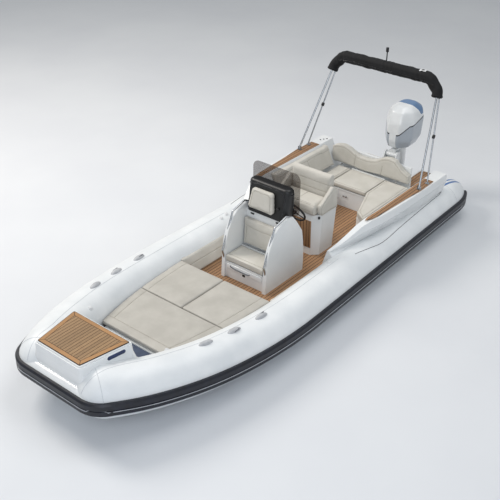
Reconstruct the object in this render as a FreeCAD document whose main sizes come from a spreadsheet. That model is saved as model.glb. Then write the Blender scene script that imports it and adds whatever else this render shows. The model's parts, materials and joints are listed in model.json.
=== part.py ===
import FreeCAD, Part
import math
import os
import re

from FreeCAD import Placement, Rotation, Vector

# Rigid inflatable boat. X runs forward, Y to port, Z up. The origin is on the centreline,
# amidships, at the level of the still water. Sizes are in millimetres.

# General clearances and overruns
overrun = 40
runningGap = 6
softGap = 4
pinGap = 0.08
deckSeat = 0.3

# Buoyancy tubes: axis points, radius and the rounded stern end
tubeRadius = 300
tubeHeight = 330
tubeSheer = 190
tubeAftX = -3380
tubeCapLength = 570
tubeNoseLength = 320
tubeMidX = 500
tubeBowX = 3230
tubeHalfSpan = 1062
tubeAftHalfSpan = 995
tubeBowHalfSpan = 500

# Deep V hull below the sole
hullAftX = -3360
hullMidX = 800
hullBowX = 3330
keelDepth = 330
keelAftDepth = 300
chineHalfBeam = 830
chineHeight = 0
hullTopHalfBeam = 800
soleUnderside = 208
stemHeight = 120
chineRise = 148
hullStations = 10
bowNarrowShare = 0.8

# Teak sole of the cockpit
soleThickness = 12
soleHalfWidth = 686
soleFrontX = 690
soleAftX = -3140

# Rubbing strake round the tubes
railAbove = 75
railBelow = 95
railDepth = 38
railInset = 30
railAftShare = 0.55
railGroove = 12
railChamfer = 20

# Bow moulding, anchor locker and its lid
noseFrontX = 3550
noseTop = 640
noseBottom = 430
noseAftX = 2700
noseFillet = 90
foredeckAftX = 2350
foredeckTop = 380
foredeckHalf = 600
lockerFrontX = 3450
lockerAftX = 2765
lockerTop = 880
lockerFrontHalf = 375
lockerAftHalf = 490
lockerSpread = 170
lockerFloor = 420
lockerCorner = 45
wellAftX = 2830
wellFrontX = 3200
wellAftHalf = 300
wellFrontHalf = 130
noseFootHalf = 150
noseFootX = 3300
lidInset = 16
lidThickness = 18
lidTeak = 8
lidTeakInset = 14

# Foredeck sunbathing deck and its three cushions
sunBaseAftX = 700
sunBaseFrontX = 2340
sunBaseAftHalf = 700
sunBaseFrontHalf = 500
sunBaseTop = 396
sunCushionTop = 482
sunJointX = 1630
sunAftX = 684
sunFrontX = 2330
sunStepX = 2336
padThickness = 22

# Helm console with side wings
consoleCentreY = 30
consoleHalf = 385
consoleFrontX = 335
consoleAftX = -505
wingThickness = 55
wingShoulderX = 300
wingShoulderZ = 632
wingArchX = 82
wingArchZ = 1111
wingTopX = -130
wingTopZ = 1176
wingCrestX = -239
wingCrestZ = 1167
wingBendX = 225
wingBendZ = 920
wingBrowX = -23
wingBrowZ = 1155
wingSillX = -335
wingSillZ = 1050
wingAftX = -458
wingWaistX = -506
wingWaistZ = 560
wingAftZ = 872
coreFrontX = -120
coreTopZ = 1095
lockerSeatFrontX = 300
seatLockerTop = 452
seatLockerWall = 30
seatLockerHalf = 300
seatLockerBack = -8
seatLidThickness = 20
seatCushionThickness = 105
seatCushionHalf = 315
seatCushionFrontX = 318
seatHingeX = -38
seatUpstand = 10
backCushionTop = 985
backCushionBottom = 600
backCushionThickness = 75
backCushionHalf = 310
wingRailRadius = 13
wingRailStand = 34

# Windscreen, binnacle and headrest
screenThickness = 6
screenHalf = 395
screenTopZ = 1730
screenCorner = 100
hoodFrontX = -120
hoodTopFrontX = -200
hoodAftX = -362
hoodTopZ = 1535
hoodHalf = 321
hoodTopHalf = 345
hoodCorner = 80
hoodEdge = 50
hoodStarboardShift = 3
headBottomZ = 1165
headTopZ = 1450
headBottomHalf = 215
headTopHalf = 170
headCorner = 45
headShiftY = 50
headrestThickness = 60

# Steering wheel and its column
wheelX = -600
wheelY = 170
wheelZ = 1010
wheelRadius = 175
wheelRim = 14
wheelTilt = 28
wheelHub = 34
wheelHubLength = 30
wheelSpokeWidth = 26
wheelSpokeThickness = 7
columnRadius = 26
columnLength = 260

# Helm seat
pedestalFrontX = -880
pedestalAftX = -1290
pedestalHalf = 335
pedestalTopZ = 880
pedestalChamfer = 95
pedestalFlare = 30
helmSeatFrontX = -812
helmSeatAftX = -1160
helmSeatThickness = 190
helmSeatHalf = 330
helmBackAftX = -1290
helmBackTopZ = 1390
helmBackBottomZ = 890
armThickness = 72
armFrontX = -860
armRearZ = 1245
armFrontZ = 1085
armEdge = 60
bolsterRadius = 64

# Coamings beside the aft cockpit
coamingFrontX = -560
coamingAftX = -3160
coamingTop = 925
coamingWeltZ = 620
coamingInnerFoot = 690
coamingInnerKnee = 702
coamingKneeZ = 400
coamingTeak = 10

# Padded side lining between sundeck and sofa
liningTop = 470
liningThickness = 34
liningFoot = 690

# Aft sofa: base, bench lid and cushions
sofaTop = 494
sofaAftX = -3109.5
sofaBenchFrontX = -2420
sofaWingFrontX = -1820
sofaPortNoseX = -1670
sofaPortHalf = 630
sofaPortInnerFront = 430
sofaPortInnerAft = 205
sofaStarboardHalf = 684
sofaStarboardInner = 430
lockerRim = 45
benchLockerFloor = 260
cushionThickness = 95
cushionOverhang = 18
benchLidThickness = 16
benchHingeX = -2984
benchUpstand = 10
cushionGap = 8
backThickness = 120
backRise = 352
backStarboard = -840
backPort = 590
bulkheadX = -3110
bulkheadThickness = 50
bulkheadTop = 850
bulkheadStarboard = -676
bulkheadPort = 560
wingBackThickness = 85
wingBackTop = 905
wingBackFrontX = -1500
wingBackAftX = -2900

# Stern platforms and transom well
platformFrontX = -3165
platformAftX = -3860
platformInner = 350
platformOuter = 690
platformTop = 490
platformTip = 105
platformTeak = 10
teakMargin = 35
transomThickness = 62
transomTop = 690
transomHalf = 345

# Outboard engine
tiltAxisX = -3470
tiltAxisZ = 800
tiltTubeRadius = 16
clampPlate = 22
clampHalf = 118
clampTop = 855
clampBottom = 380
clampAftX = -3520
swivelHalf = 88
swivelFrontX = -3490
swivelAftX = -3598
swivelTop = 835
swivelBottom = 250
steerAxisX = -3550
steerShaft = 17
yokeThickness = 34
yokeHalf = 46
legFrontX = -3660
legAftX = -3880
legHalf = 78
legTop = 914.7
plateZ = -120
plateHalf = 120
plateFrontX = -3620
plateAftX = -4130
plateThickness = 12
gearAxisZ = -340
gearRadius = 60
gearFrontX = -3560
gearAftX = -4050
skegBottom = -560
skegFrontX = -3720
skegAftX = -3980
skegThickness = 14
cowlBottom = 915
cowlTop = 1590
cowlFrontX = -3435
cowlAftX = -4120
cowlHalf = 250
cowlCorner = 30
blockLength = 350
blockWidth = 280
blockHeight = 380
blockFrontX = -3580
blockBottomZ = 965
hubRadius = 56
hubLength = 120
propellerRadius = 190
bladeThickness = 9
bladeRootChord = 92
bladeTipChord = 110
propellerGap = 8

# Folded sun awning on its hoop
hoopFootX = -2425
hoopFootY = 1082
hoopTopX = -3010
hoopTopY = 900
hoopTopZ = 2235
hoopRadius = 15
braceFootX = -2665
braceTopX = -3085
braceRadius = 12
hoopBend = 150
bootRadius = 75
bootSag = 25
bootRise = 165
footRadius = 34
footHeight = 40
footPin = 5
footBase = 12
footEar = 6
hoopEnd = 13
mastRadius = 9
mastHeight = 150
lampRadius = 22
lampHeight = 62

# Small fittings
handleLength = 200
handleWidth = 80
handleHeight = 34
cleatLength = 130
cleatHeight = 34
cleatWidth = 22
eyePlate = 60
eyeBore = 14
eyeReach = 36
eyeThickness = 10
eyeY = 276
eyeZ = 70

# Every size above becomes a cell of the sheet, with its name as alias
sizeNames = [name for name, value in list(globals().items())
             if not name.startswith("_") and type(value) in (int, float)]
doc = FreeCAD.newDocument("RigidInflatable")
sheet = doc.addObject("Spreadsheet::Sheet", "sizes")
for row, name in enumerate(sizeNames, 1):
    sheet.set("A%d" % row, name)
    sheet.set("B%d" % row, str(globals()[name]))
    sheet.setAlias("B%d" % row, name)
doc.recompute()
nodes = {}


def cells(text):
    # Turns the size names in a formula into cells of the sheet.
    return re.sub(r"\b([a-z][A-Za-z]+)\b", r"sizes.\1", text)


def keep(label, feature):
    feature.Label = label
    nodes[label] = feature
    return feature


def shapeFeature(label, shape):
    feature = doc.addObject("Part::Feature", label)
    feature.Shape = shape
    return feature


def box(label, spanX, spanY, spanZ):
    # A block between two formulas along each axis.
    block = doc.addObject("Part::Box", label)
    for side, axis, (low, high) in zip(("Length", "Width", "Height"), "xyz", (spanX, spanY, spanZ)):
        block.setExpression(side, cells("(%s) - (%s)" % (high, low)))
        block.setExpression("Placement.Base." + axis, cells(low))
    doc.recompute()
    return block


def rod(label, radius, length, base, axis=Vector(0, 0, 1)):
    # A round bar whose radius and length are formulas.
    bar = doc.addObject("Part::Cylinder", label)
    bar.setExpression("Radius", cells(radius))
    bar.setExpression("Height", cells(length))
    bar.Placement = Placement(Vector(*base), Rotation(Vector(0, 0, 1), axis))
    doc.recompute()
    return bar


planeNormal = {"XY_Plane": 1, "XZ_Plane": -1, "YZ_Plane": 1}


def drawOutline(sketch, outline):
    # A closed outline of points. A pair of points in a list is an arc through the first to the second.
    here = Vector(*outline[0], 0)
    for step in outline[1:] + [outline[0]]:
        if isinstance(step, list):
            middle, end = (Vector(*point, 0) for point in step)
            sketch.addGeometry(Part.Arc(here, middle, end), False)
            here = end
        else:
            end = Vector(*step, 0)
            if end != here:
                sketch.addGeometry(Part.LineSegment(here, end), False)
            here = end


def prism(label, plane, outline, low, high):
    # A body with one outline, padded between two formulas along the plane's own axis.
    body = doc.addObject("PartDesign::Body", label)
    sketch = body.newObject("Sketcher::SketchObject", label + "_outline")
    origin = [f for f in body.Origin.OriginFeatures if f.Role == plane][0]
    sketch.AttachmentSupport = [(origin, "")]
    sketch.MapMode = "FlatFace"
    start = low if planeNormal[plane] > 0 else "-(%s)" % high
    sketch.setExpression("AttachmentOffset.Base.z", cells(start))
    drawOutline(sketch, outline)
    pad = body.newObject("PartDesign::Pad", label + "_pad")
    pad.Profile = sketch
    pad.setExpression("Length", cells("(%s) - (%s)" % (high, low)))
    body.Tip = pad
    doc.recompute()
    return body


def cut(label, base, *tools):
    # The base less every tool, one after another.
    for number, tool in enumerate(tools):
        result = doc.addObject("Part::Cut", "%s_cut%d" % (label, number))
        result.Base = base
        result.Tool = tool
        base = result
    doc.recompute()
    return base


def fuse(label, *parts):
    joined = doc.addObject("Part::MultiFuse", label + "_whole")
    joined.Shapes = list(parts)
    joined.Refine = True
    doc.recompute()
    return joined


def group(label, *parts):
    # Like pieces on one body, kept as solids that don't touch.
    shape = Part.makeCompound([solid for part in parts for solid in part.Shape.Solids])
    return keep(label, shapeFeature(label, shape))


def polygonWire(points):
    return Part.makePolygon([Vector(*p) for p in points] + [Vector(*points[0])])


def loftSolid(wires, ruled=False):
    return Part.makeLoft(wires, True, ruled)


def mirrored(shape):
    return shape.mirror(Vector(0, 0, 0), Vector(0, 1, 0))


def flip(outline, side):
    # The outline for port (side 1) or starboard (side -1), with Y as its first coordinate.
    def turn(point):
        return (side * point[0], point[1])
    return [[turn(p) for p in step] if isinstance(step, list) else turn(step) for step in outline]


# Buoyancy tubes: a straight run and three arcs that tighten towards the bow
bowShares = [(0.50, 0.17), (0.82, 0.575), (1, 1)]


def arcTo(start, tangent, end):
    # The one arc that leaves start along tangent and reaches end, and its direction there.
    chord = end - start
    side = chord - tangent * chord.dot(tangent)
    toCentre = Vector(side).normalize()
    radius = chord.Length ** 2 / (2 * chord.dot(toCentre))
    centre = start + toCentre * radius
    toMiddle = ((start - centre).normalize() + (end - centre).normalize()).normalize()
    arc = Part.Arc(start, centre + toMiddle * radius, end).toShape()
    along = chord.normalize()
    return arc, (along * (2 * along.dot(tangent)) - tangent).normalize()


def tubeStations(outward=0):
    # Points of the port tube's axis, moved outwards, with the direction at each.
    points = [Vector(tubeAftX, tubeAftHalfSpan, tubeHeight),
              Vector(tubeMidX, tubeHalfSpan, tubeHeight)]
    for share, inShare in bowShares:
        points.append(Vector(tubeMidX + share * (tubeBowX - tubeMidX),
                             tubeHalfSpan - inShare * (tubeHalfSpan - tubeBowHalfSpan),
                             tubeHeight + tubeSheer * share ** 2))
    direction = (points[1] - points[0]).normalize()
    directions = [direction, direction]
    for start, end in zip(points[1:], points[2:]):
        direction = arcTo(start, direction, end)[1]
        directions.append(direction)
    moved = [p + Vector(-t.y, t.x, 0).normalize() * outward for p, t in zip(points, directions)]
    return moved, directions


def pathAlong(points, direction):
    edges = [Part.LineSegment(points[0], points[1]).toShape()]
    for start, end in zip(points[1:], points[2:]):
        edge, direction = arcTo(start, direction, end)
        edges.append(edge)
    return edges


axisPoints, axisTangents = tubeStations()
axisTrace = Part.Wire(pathAlong(axisPoints, axisTangents[0])).discretize(241)


def tubeInside(x, base):
    # How far out the space between the tubes reaches at x, for a piece that stands on base.
    after = next(number for number, point in enumerate(axisTrace) if point.x >= x)
    low, high = axisTrace[after - 1], axisTrace[after]
    share = (x - low.x) / (high.x - low.x)
    axisZ = low.z + share * (high.z - low.z)
    heading = math.atan2(low.y - high.y, high.x - low.x)
    reach = math.sqrt(tubeRadius ** 2 - max(0, base - axisZ) ** 2) / math.cos(heading)
    return low.y + share * (high.y - low.y) - reach - softGap


def domeAt(place, heading, length):
    # Half an ellipsoid that closes one end of the tube.
    arch = Part.Ellipse(Vector(0, 0, 0), length, tubeRadius)
    outline = Part.Wire([arch.toShape(0, math.pi / 2),
                         Part.LineSegment(Vector(0, tubeRadius, 0), Vector(0, 0, 0)).toShape(),
                         Part.LineSegment(Vector(0, 0, 0), Vector(length, 0, 0)).toShape()])
    dome = Part.Face(outline).revolve(Vector(0, 0, 0), Vector(1, 0, 0), 360)
    dome.Placement = Placement(place, Rotation(Vector(1, 0, 0), heading))
    return dome


def tubeShape():
    section = Part.Wire(Part.Circle(axisPoints[0], axisTangents[0], tubeRadius).toShape())
    run = Part.Wire(pathAlong(axisPoints, axisTangents[0])).makePipeShell([section], True, True)
    return run.fuse([domeAt(axisPoints[0], axisTangents[0] * -1, tubeCapLength),
                     domeAt(axisPoints[-1], axisTangents[-1], tubeNoseLength)])


tubePort = keep("tube_port", shapeFeature("tube_port", tubeShape()))
tubeStarboard = keep("tube_starboard", shapeFeature("tube_starboard", mirrored(tubePort.Shape)))


# Hull: a deep V with a chine on each side and a flat top that carries the sole
def hullStation(x, keelZ, chineY, chineZ, topY):
    return polygonWire([(x, 0, keelZ), (x, chineY, chineZ), (x, topY, soleUnderside),
                        (x, -topY, soleUnderside), (x, -chineY, chineZ)])


def hullShape():
    # Even stations: parallel aft, then narrowing and rising to the stem.
    stations = []
    for number in range(hullStations + 1):
        x = hullAftX + number / hullStations * (hullBowX - hullAftX)
        share = max(0, (x - hullMidX) / (hullBowX - hullMidX))
        aftShare = min(1, (x - hullAftX) / (hullMidX - hullAftX))
        narrow = 1 - bowNarrowShare * share ** 2.2
        keelZ = (share ** 3 * (keelDepth + stemHeight) - keelAftDepth
                 - aftShare * (keelDepth - keelAftDepth))
        chineZ = chineHeight + share ** 2 * chineRise
        stations.append(hullStation(x, keelZ, narrow * chineHalfBeam, chineZ,
                                    narrow * hullTopHalfBeam))
    return loftSolid(stations)


hullBlank = shapeFeature("hull_blank", hullShape())
keep("hull", cut("hull", hullBlank, tubePort, tubeStarboard))


# Teak sole, with the passage to the stern beside the sofa on the port side
keep("cockpit_sole", prism("cockpit_sole", "XY_Plane", [
    (soleFrontX, -soleHalfWidth), (soleFrontX, soleHalfWidth),
    (soleAftX, soleHalfWidth - teakMargin), (soleAftX, sofaPortHalf + cushionGap),
    (sofaPortNoseX + cushionGap, sofaPortHalf + cushionGap),
    (sofaWingFrontX + cushionGap, sofaPortInnerFront),
    (sofaBenchFrontX + cushionGap, sofaPortInnerAft),
    (sofaBenchFrontX + cushionGap, -sofaStarboardInner),
    (sofaWingFrontX + cushionGap, -sofaStarboardInner),
    (sofaWingFrontX + cushionGap, -soleHalfWidth)],
    "soleUnderside", "soleUnderside + soleThickness"))
soleTop = "soleUnderside + soleThickness"


# Rubbing strake: a two-ribbed section that follows the tube, and one that wraps the nose
def railSection(base, outward):
    mid = (railAbove - railBelow) / 2
    corners = [(-railInset, railAbove), (railDepth - railChamfer, railAbove),
               (railDepth, railAbove - railChamfer), (railDepth, mid + railGroove / 2),
               (railDepth - railGroove, mid), (railDepth, mid - railGroove / 2),
               (railDepth, railChamfer - railBelow),
               (railDepth - railChamfer, -railBelow), (-railInset, -railBelow)]
    points = [base + outward * out + Vector(0, 0, rise) for out, rise in corners]
    return Part.makePolygon(points + [points[0]])


def railAlong(edges, outward):
    sweep = Part.BRepOffsetAPI.MakePipeShell(Part.Wire(edges))
    sweep.setBiNormalMode(Vector(0, 0, 1))
    sweep.add(railSection(edges[0].valueAt(edges[0].FirstParameter), outward))
    sweep.build()
    sweep.makeSolid()
    return sweep.shape()


# The strake starts a share of the way round the stern dome, whose plan is an ellipse
outerPoints, outerTangents = tubeStations(tubeRadius)
sternBack = axisTangents[0] * -1
sternOut = Vector(-axisTangents[0].y, axisTangents[0].x, 0)
sternAngle = (1 - railAftShare) * math.pi / 2
sternArch = Part.Ellipse(axisPoints[0] + sternBack * tubeCapLength, axisPoints[0] + sternOut * tubeRadius,
                         axisPoints[0])
sternNormal = (sternBack * (math.cos(sternAngle) / tubeCapLength)
               + sternOut * (math.sin(sternAngle) / tubeRadius)).normalize()
railEdges = [sternArch.toShape(sternAngle, math.pi / 2)] + pathAlong(outerPoints, outerTangents[0])
railBlank = shapeFeature("rub_rail_blank", railAlong(railEdges, sternNormal))

# Nose: the arc that carries the tube's outer line round to the straight front
noseStart = outerPoints[-1]
endHeading = math.atan2(-axisTangents[-1].y, axisTangents[-1].x)
chordAngle = (endHeading + math.pi / 2) / 2
noseFrontHalf = noseStart.y - (noseFrontX - noseStart.x) * math.tan(chordAngle)
noseRadius = (noseFrontX - noseStart.x) / (1 - math.sin(endHeading))
midHeading = (endHeading + math.pi / 2) / 2
noseMiddle = Vector(noseStart.x + noseRadius * (math.sin(midHeading) - math.sin(endHeading)),
                    noseStart.y - noseRadius * (math.cos(endHeading) - math.cos(midHeading)),
                    noseStart.z)


def nosePath():
    portEnd = Vector(noseFrontX, noseFrontHalf, noseStart.z)
    twin = [Vector(p.x, -p.y, p.z) for p in (portEnd, noseMiddle, noseStart)]
    return [Part.Arc(noseStart, noseMiddle, portEnd).toShape(),
            Part.LineSegment(portEnd, twin[0]).toShape(), Part.Arc(*twin).toShape()]


noseRail = shapeFeature("rub_rail_nose", railAlong(nosePath(), Vector(
    math.sin(endHeading), math.cos(endHeading), 0)))

# Bow moulding between the tubes: nose, foredeck and the anchor locker with its well
tubeEnd = axisPoints[-1]
noseBlank = prism("nose_blank", "XY_Plane", [
    (noseAftX, -tubeEnd.y), (tubeEnd.x, -tubeEnd.y), (noseStart.x, -noseStart.y),
    [(noseMiddle.x, -noseMiddle.y), (noseFrontX, -noseFrontHalf)],
    (noseFrontX, noseFrontHalf), [(noseMiddle.x, noseMiddle.y), (noseStart.x, noseStart.y)],
    (tubeEnd.x, tubeEnd.y), (noseAftX, tubeEnd.y)], "noseBottom", "noseTop")


def topFrontEdges(shape):
    # The upper rim of the nose, forward of the corners.
    chosen = []
    for number, edge in enumerate(shape.Edges, 1):
        box = edge.BoundBox
        if box.ZMin > noseTop - softGap and box.XMin > tubeEnd.x + softGap:
            chosen.append((number, noseFillet, noseFillet))
    return chosen


noseRound = doc.addObject("Part::Fillet", "nose_round")
noseRound.Base = noseBlank
noseRound.Edges = topFrontEdges(noseBlank.Shape)
foredeck = prism("foredeck_blank", "XY_Plane", [
    (foredeckAftX, -foredeckHalf), (noseAftX, -tubeEnd.y),
    (noseAftX, tubeEnd.y), (foredeckAftX, foredeckHalf)],
    "soleUnderside", "foredeckTop - padThickness")


def trapezoid(aftX, aftHalf, frontX, frontHalf, z):
    return [Vector(aftX, -aftHalf, z), Vector(frontX, -frontHalf, z), Vector(frontX, frontHalf, z),
            Vector(aftX, aftHalf, z)]


def roundedWire(corners, radius):
    # Straight edges with one tangent arc at every corner.
    bends = []
    for before, corner, after in zip(corners[-1:] + corners[:-1], corners, corners[1:] + corners[:1]):
        toBefore = (before - corner).normalize()
        toAfter = (after - corner).normalize()
        half = toBefore.getAngle(toAfter) / 2
        inward = (toBefore + toAfter).normalize()
        bends.append((corner + toBefore * (radius / math.tan(half)),
                      corner + inward * (radius / math.sin(half) - radius),
                      corner + toAfter * (radius / math.tan(half))))
    edges = []
    for bend, following in zip(bends, bends[1:] + bends[:1]):
        edges.append(Part.Arc(*bend).toShape())
        edges.append(Part.LineSegment(bend[2], following[0]).toShape())
    return Part.Wire(edges)


# The locker spreads down to the foredeck, most at its aft end and least in front
lockerDropShares = [(0, 0), (0.2, 0.06), (0.45, 0.28), (0.72, 0.62), (1, 1)]
lockerSideShare = 0.6
lockerFrontShare = 0.35


def lockerCorners(grow, z, spread=0):
    side = grow + spread * lockerSideShare
    return trapezoid(lockerAftX - grow - spread, lockerAftHalf + side,
                     lockerFrontX + grow + spread * lockerFrontShare, lockerFrontHalf + side, z)


noseFoot = shapeFeature("nose_foot", loftSolid([
    polygonWire(trapezoid(noseAftX, noseFootHalf, noseFootX, noseFootHalf, soleUnderside)),
    polygonWire(trapezoid(noseAftX, noseFrontHalf, noseFrontX, noseFrontHalf, noseBottom))], True))
lockerBlock = shapeFeature("locker_block", loftSolid([
    roundedWire(lockerCorners(0, lockerTop - drop * (lockerTop - foredeckTop + padThickness),
                              spread * lockerSpread), lockerCorner)
    for drop, spread in reversed(lockerDropShares)], True))
wellSides = (wellAftX, wellAftHalf, wellFrontX, wellFrontHalf)
lockerWell = shapeFeature("locker_well", loftSolid([
    roundedWire(trapezoid(*wellSides, lockerFloor), lockerCorner),
    roundedWire(trapezoid(*wellSides, lockerTop + overrun), lockerCorner)], True))
keep("bow_moulding", cut("bow_moulding", fuse("bow_solid", noseRound, noseFoot, foredeck, lockerBlock),
                         lockerWell, tubePort, tubeStarboard))
padFrontX = lockerAftX - lockerSpread - softGap
keep("foredeck_pad", cut("foredeck_pad", prism("pad_blank", "XY_Plane", [
    (sunStepX + softGap, -foredeckHalf), (padFrontX, -foredeckHalf),
    (padFrontX, foredeckHalf), (sunStepX + softGap, foredeckHalf)],
    "foredeckTop - padThickness", "foredeckTop"), tubePort, tubeStarboard))


def lidPlate(label, inset, low, high):
    return keep(label, shapeFeature(label, loftSolid([
        roundedWire(lockerCorners(-inset, z), lockerCorner - inset) for z in (low, high)], True)))


lidPlate("bow_locker_lid", lidInset, lockerTop + deckSeat, lockerTop + lidThickness)
lidPlate("bow_lid_teak", lidInset + lidTeakInset, lockerTop + lidThickness,
         lockerTop + lidThickness + lidTeak)
railPort = cut("rub_rail_port", railBlank, tubePort)
group("rub_rails", railPort, shapeFeature("rub_rail_starboard", mirrored(railPort.Shape)))
keep("rub_rail_bow", cut("rub_rail_bow", noseRail, nodes["bow_moulding"], tubePort, tubeStarboard))

# Sundeck: its locker and three cushions, whose outer edges follow the tubes
keep("sundeck_base", cut("sundeck_base", prism("sundeck_blank", "XY_Plane", [
    (sunBaseAftX, -sunBaseAftHalf), (sunJointX, -sunBaseAftHalf),
    (sunBaseFrontX, -sunBaseFrontHalf), (sunBaseFrontX, sunBaseFrontHalf),
    (sunJointX, sunBaseAftHalf), (sunBaseAftX, sunBaseAftHalf)],
    "soleUnderside", "sunBaseTop"), tubePort, tubeStarboard))


def sunEdge(aftX, frontX, side):
    # Places along the outer edge of a cushion, from its aft to its front end.
    return [(x, side * tubeInside(x, sunBaseTop))
            for x in [aftX + share * (frontX - aftX) for share in sunEdgeShares]]


def sunCushion(label, outline):
    return keep(label, prism(label, "XY_Plane", outline, "sunBaseTop + deckSeat", "sunCushionTop"))


sunEdgeShares = [0, 0.25, 0.5, 0.75, 1]
for side, word in ((1, "port"), (-1, "starboard")):
    sunCushion("sun_cushion_" + word, [(sunAftX, side * softGap)] + sunEdge(
        sunAftX, sunJointX - softGap, side) + [(sunJointX - softGap, side * softGap)])
sunCushion("sun_cushion_forward", sunEdge(sunJointX + softGap, sunFrontX, -1)
           + sunEdge(sunJointX + softGap, sunFrontX, 1)[::-1])

# Helm console: a core between two arched wings, with the seat locker in front
consolePort = "consoleCentreY + consoleHalf"
consoleStarboard = "consoleCentreY - consoleHalf"
deckZ = soleUnderside + soleThickness
wingOutline = [(consoleAftX, deckZ), (consoleFrontX, deckZ), (wingShoulderX, wingShoulderZ),
               [(wingBendX, wingBendZ), (wingArchX, wingArchZ)],
               [(wingBrowX, wingBrowZ), (wingTopX, wingTopZ)], (wingCrestX, wingCrestZ),
               (wingSillX, wingSillZ), (wingAftX, wingAftZ), [(wingWaistX, wingWaistZ), (consoleAftX, deckZ)]]
wingPort = prism("wing_port", "XZ_Plane", wingOutline, consolePort + " - wingThickness", consolePort)
wingStarboard = prism("wing_starboard", "XZ_Plane", wingOutline, consoleStarboard,
                      consoleStarboard + " + wingThickness")
core = prism("console_core", "XZ_Plane", [
    (wingAftX, deckZ), (coreFrontX, deckZ), (coreFrontX, backCushionBottom),
    (coreFrontX - backCushionThickness / 2, coreTopZ), (wingSillX + softGap, coreTopZ),
    (wingSillX, wingSillZ), (wingAftX, wingAftZ)],
    consoleStarboard + " + wingThickness", consolePort + " - wingThickness")
seatLocker = box("seat_locker", ("coreFrontX", "lockerSeatFrontX"),
                 (consoleStarboard + " + wingThickness", consolePort + " - wingThickness"),
                 (soleTop, "seatLockerTop"))
seatLockerWell = box("seat_locker_well",
                     ("seatLockerBack + seatLockerWall", "lockerSeatFrontX - seatLockerWall"),
                     ("consoleCentreY - seatLockerHalf + seatLockerWall",
                      "consoleCentreY + seatLockerHalf - seatLockerWall"),
                     (soleTop + " + seatLockerWall", "seatLockerTop + overrun"))
keep("console", cut("console", fuse("console_solid", wingPort, wingStarboard, core, seatLocker),
                    seatLockerWell))
seatY = ("consoleCentreY - seatCushionHalf", "consoleCentreY + seatCushionHalf")
seatPanel = box("seat_panel", ("seatHingeX", "seatCushionFrontX - seatUpstand"), seatY,
                ("seatLockerTop + deckSeat", "seatLockerTop + seatLidThickness"))
seatBack = box("seat_back_plate", ("seatHingeX", "seatHingeX + seatUpstand"), seatY,
               ("seatLockerTop + deckSeat", "seatLockerTop + seatLidThickness + seatCushionThickness"))
keep("console_seat_lid", fuse("console_seat_lid", seatPanel, seatBack))
keep("console_seat_cushion", box("console_seat_cushion",
     ("seatHingeX + seatUpstand + deckSeat", "seatCushionFrontX"), seatY,
     ("seatLockerTop + seatLidThickness + deckSeat",
      "seatLockerTop + seatLidThickness + seatCushionThickness")))
lean = backCushionThickness / 2
faceShare = (backCushionTop - backCushionBottom) / (coreTopZ - backCushionBottom)
keep("console_backrest", prism("console_backrest", "XZ_Plane", [
    (coreFrontX + deckSeat, backCushionBottom),
    (coreFrontX + backCushionThickness, backCushionBottom),
    (coreFrontX + backCushionThickness - lean * faceShare, backCushionTop),
    (coreFrontX - lean * faceShare + deckSeat, backCushionTop)],
    "consoleCentreY - backCushionHalf", "consoleCentreY + backCushionHalf"))


def bentTube(points, radius, bend):
    # Straight runs with a tangent arc of the given radius at each inner point.
    edges = []
    here = points[0]
    for before, corner, after in zip(points, points[1:], points[2:]):
        intoCorner = (corner - before).normalize()
        outOfCorner = (after - corner).normalize()
        turn = intoCorner.getAngle(outOfCorner)
        setback = bend * math.tan(turn / 2)
        start = corner - intoCorner * setback
        end = corner + outOfCorner * setback
        inward = (outOfCorner - intoCorner).normalize()
        middle = corner + inward * (bend / math.cos(turn / 2) - bend)
        edges.append(Part.LineSegment(here, start).toShape())
        edges.append(Part.Arc(start, middle, end).toShape())
        here = end
    edges.append(Part.LineSegment(here, points[-1]).toShape())
    first = (points[1] - points[0]).normalize()
    section = Part.Wire(Part.Circle(points[0], first, radius).toShape())
    return Part.Wire(edges).makePipeShell([section], True, True)


# Stainless rails that stand along the arched edge of each console wing
def wingRail(centreY):
    stand = wingRailStand
    points = [Vector(consoleFrontX + (wingShoulderX - consoleFrontX) * railFootShare - wingThickness / 2,
                     centreY, wingShoulderZ * railFootShare),
              Vector(wingShoulderX + stand, centreY, wingShoulderZ),
              Vector(wingArchX + stand, centreY, wingArchZ + stand),
              Vector(wingTopX, centreY, wingTopZ + stand),
              Vector(wingCrestX, centreY, wingCrestZ - wingRailRadius)]
    return bentTube(points, wingRailRadius, stand)


railFootShare = 0.72
railY = [consoleCentreY + side * (consoleHalf - wingThickness / 2) for side in (1, -1)]
railSolids = [wingRail(y).cut(nodes["console"].Shape) for y in railY]
keep("console_rails", shapeFeature("console_rails", Part.makeCompound(
    [solid for shape in railSolids for solid in shape.Solids])))


# Instrument hood with rounded corners, the headrest on its face and the sheet of the windscreen behind
def hoodWire(z, frontX, half):
    middle = consoleCentreY - hoodStarboardShift
    return roundedWire([Vector(hoodAftX, middle - half, z), Vector(frontX, middle - half, z),
                        Vector(frontX, middle + half, z), Vector(hoodAftX, middle + half, z)], hoodCorner)


hoodFoot = coreTopZ + deckSeat
hoodBlank = loftSolid([hoodWire(hoodFoot, hoodFrontX, hoodHalf),
                       hoodWire(hoodTopZ, hoodTopFrontX, hoodTopHalf)], True)
hoodRim = [edge for edge in hoodBlank.Edges if edge.BoundBox.ZMin > hoodTopZ - softGap]
keep("binnacle", shapeFeature("binnacle", hoodBlank.makeFillet(hoodEdge, hoodRim)))
hoodSlope = (hoodTopFrontX - hoodFrontX) / (hoodTopZ - hoodFoot)


def headWire(out):
    # The headrest's outline on a plane that lies out in front of the hood's sloping face.
    middle = consoleCentreY - headShiftY
    corners = [(-headBottomHalf, headBottomZ), (headBottomHalf, headBottomZ),
               (headTopHalf, headTopZ), (-headTopHalf, headTopZ)]
    return roundedWire([Vector(hoodFrontX + hoodSlope * (z - hoodFoot) + out, middle + y, z)
                        for y, z in corners], headCorner)


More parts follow.
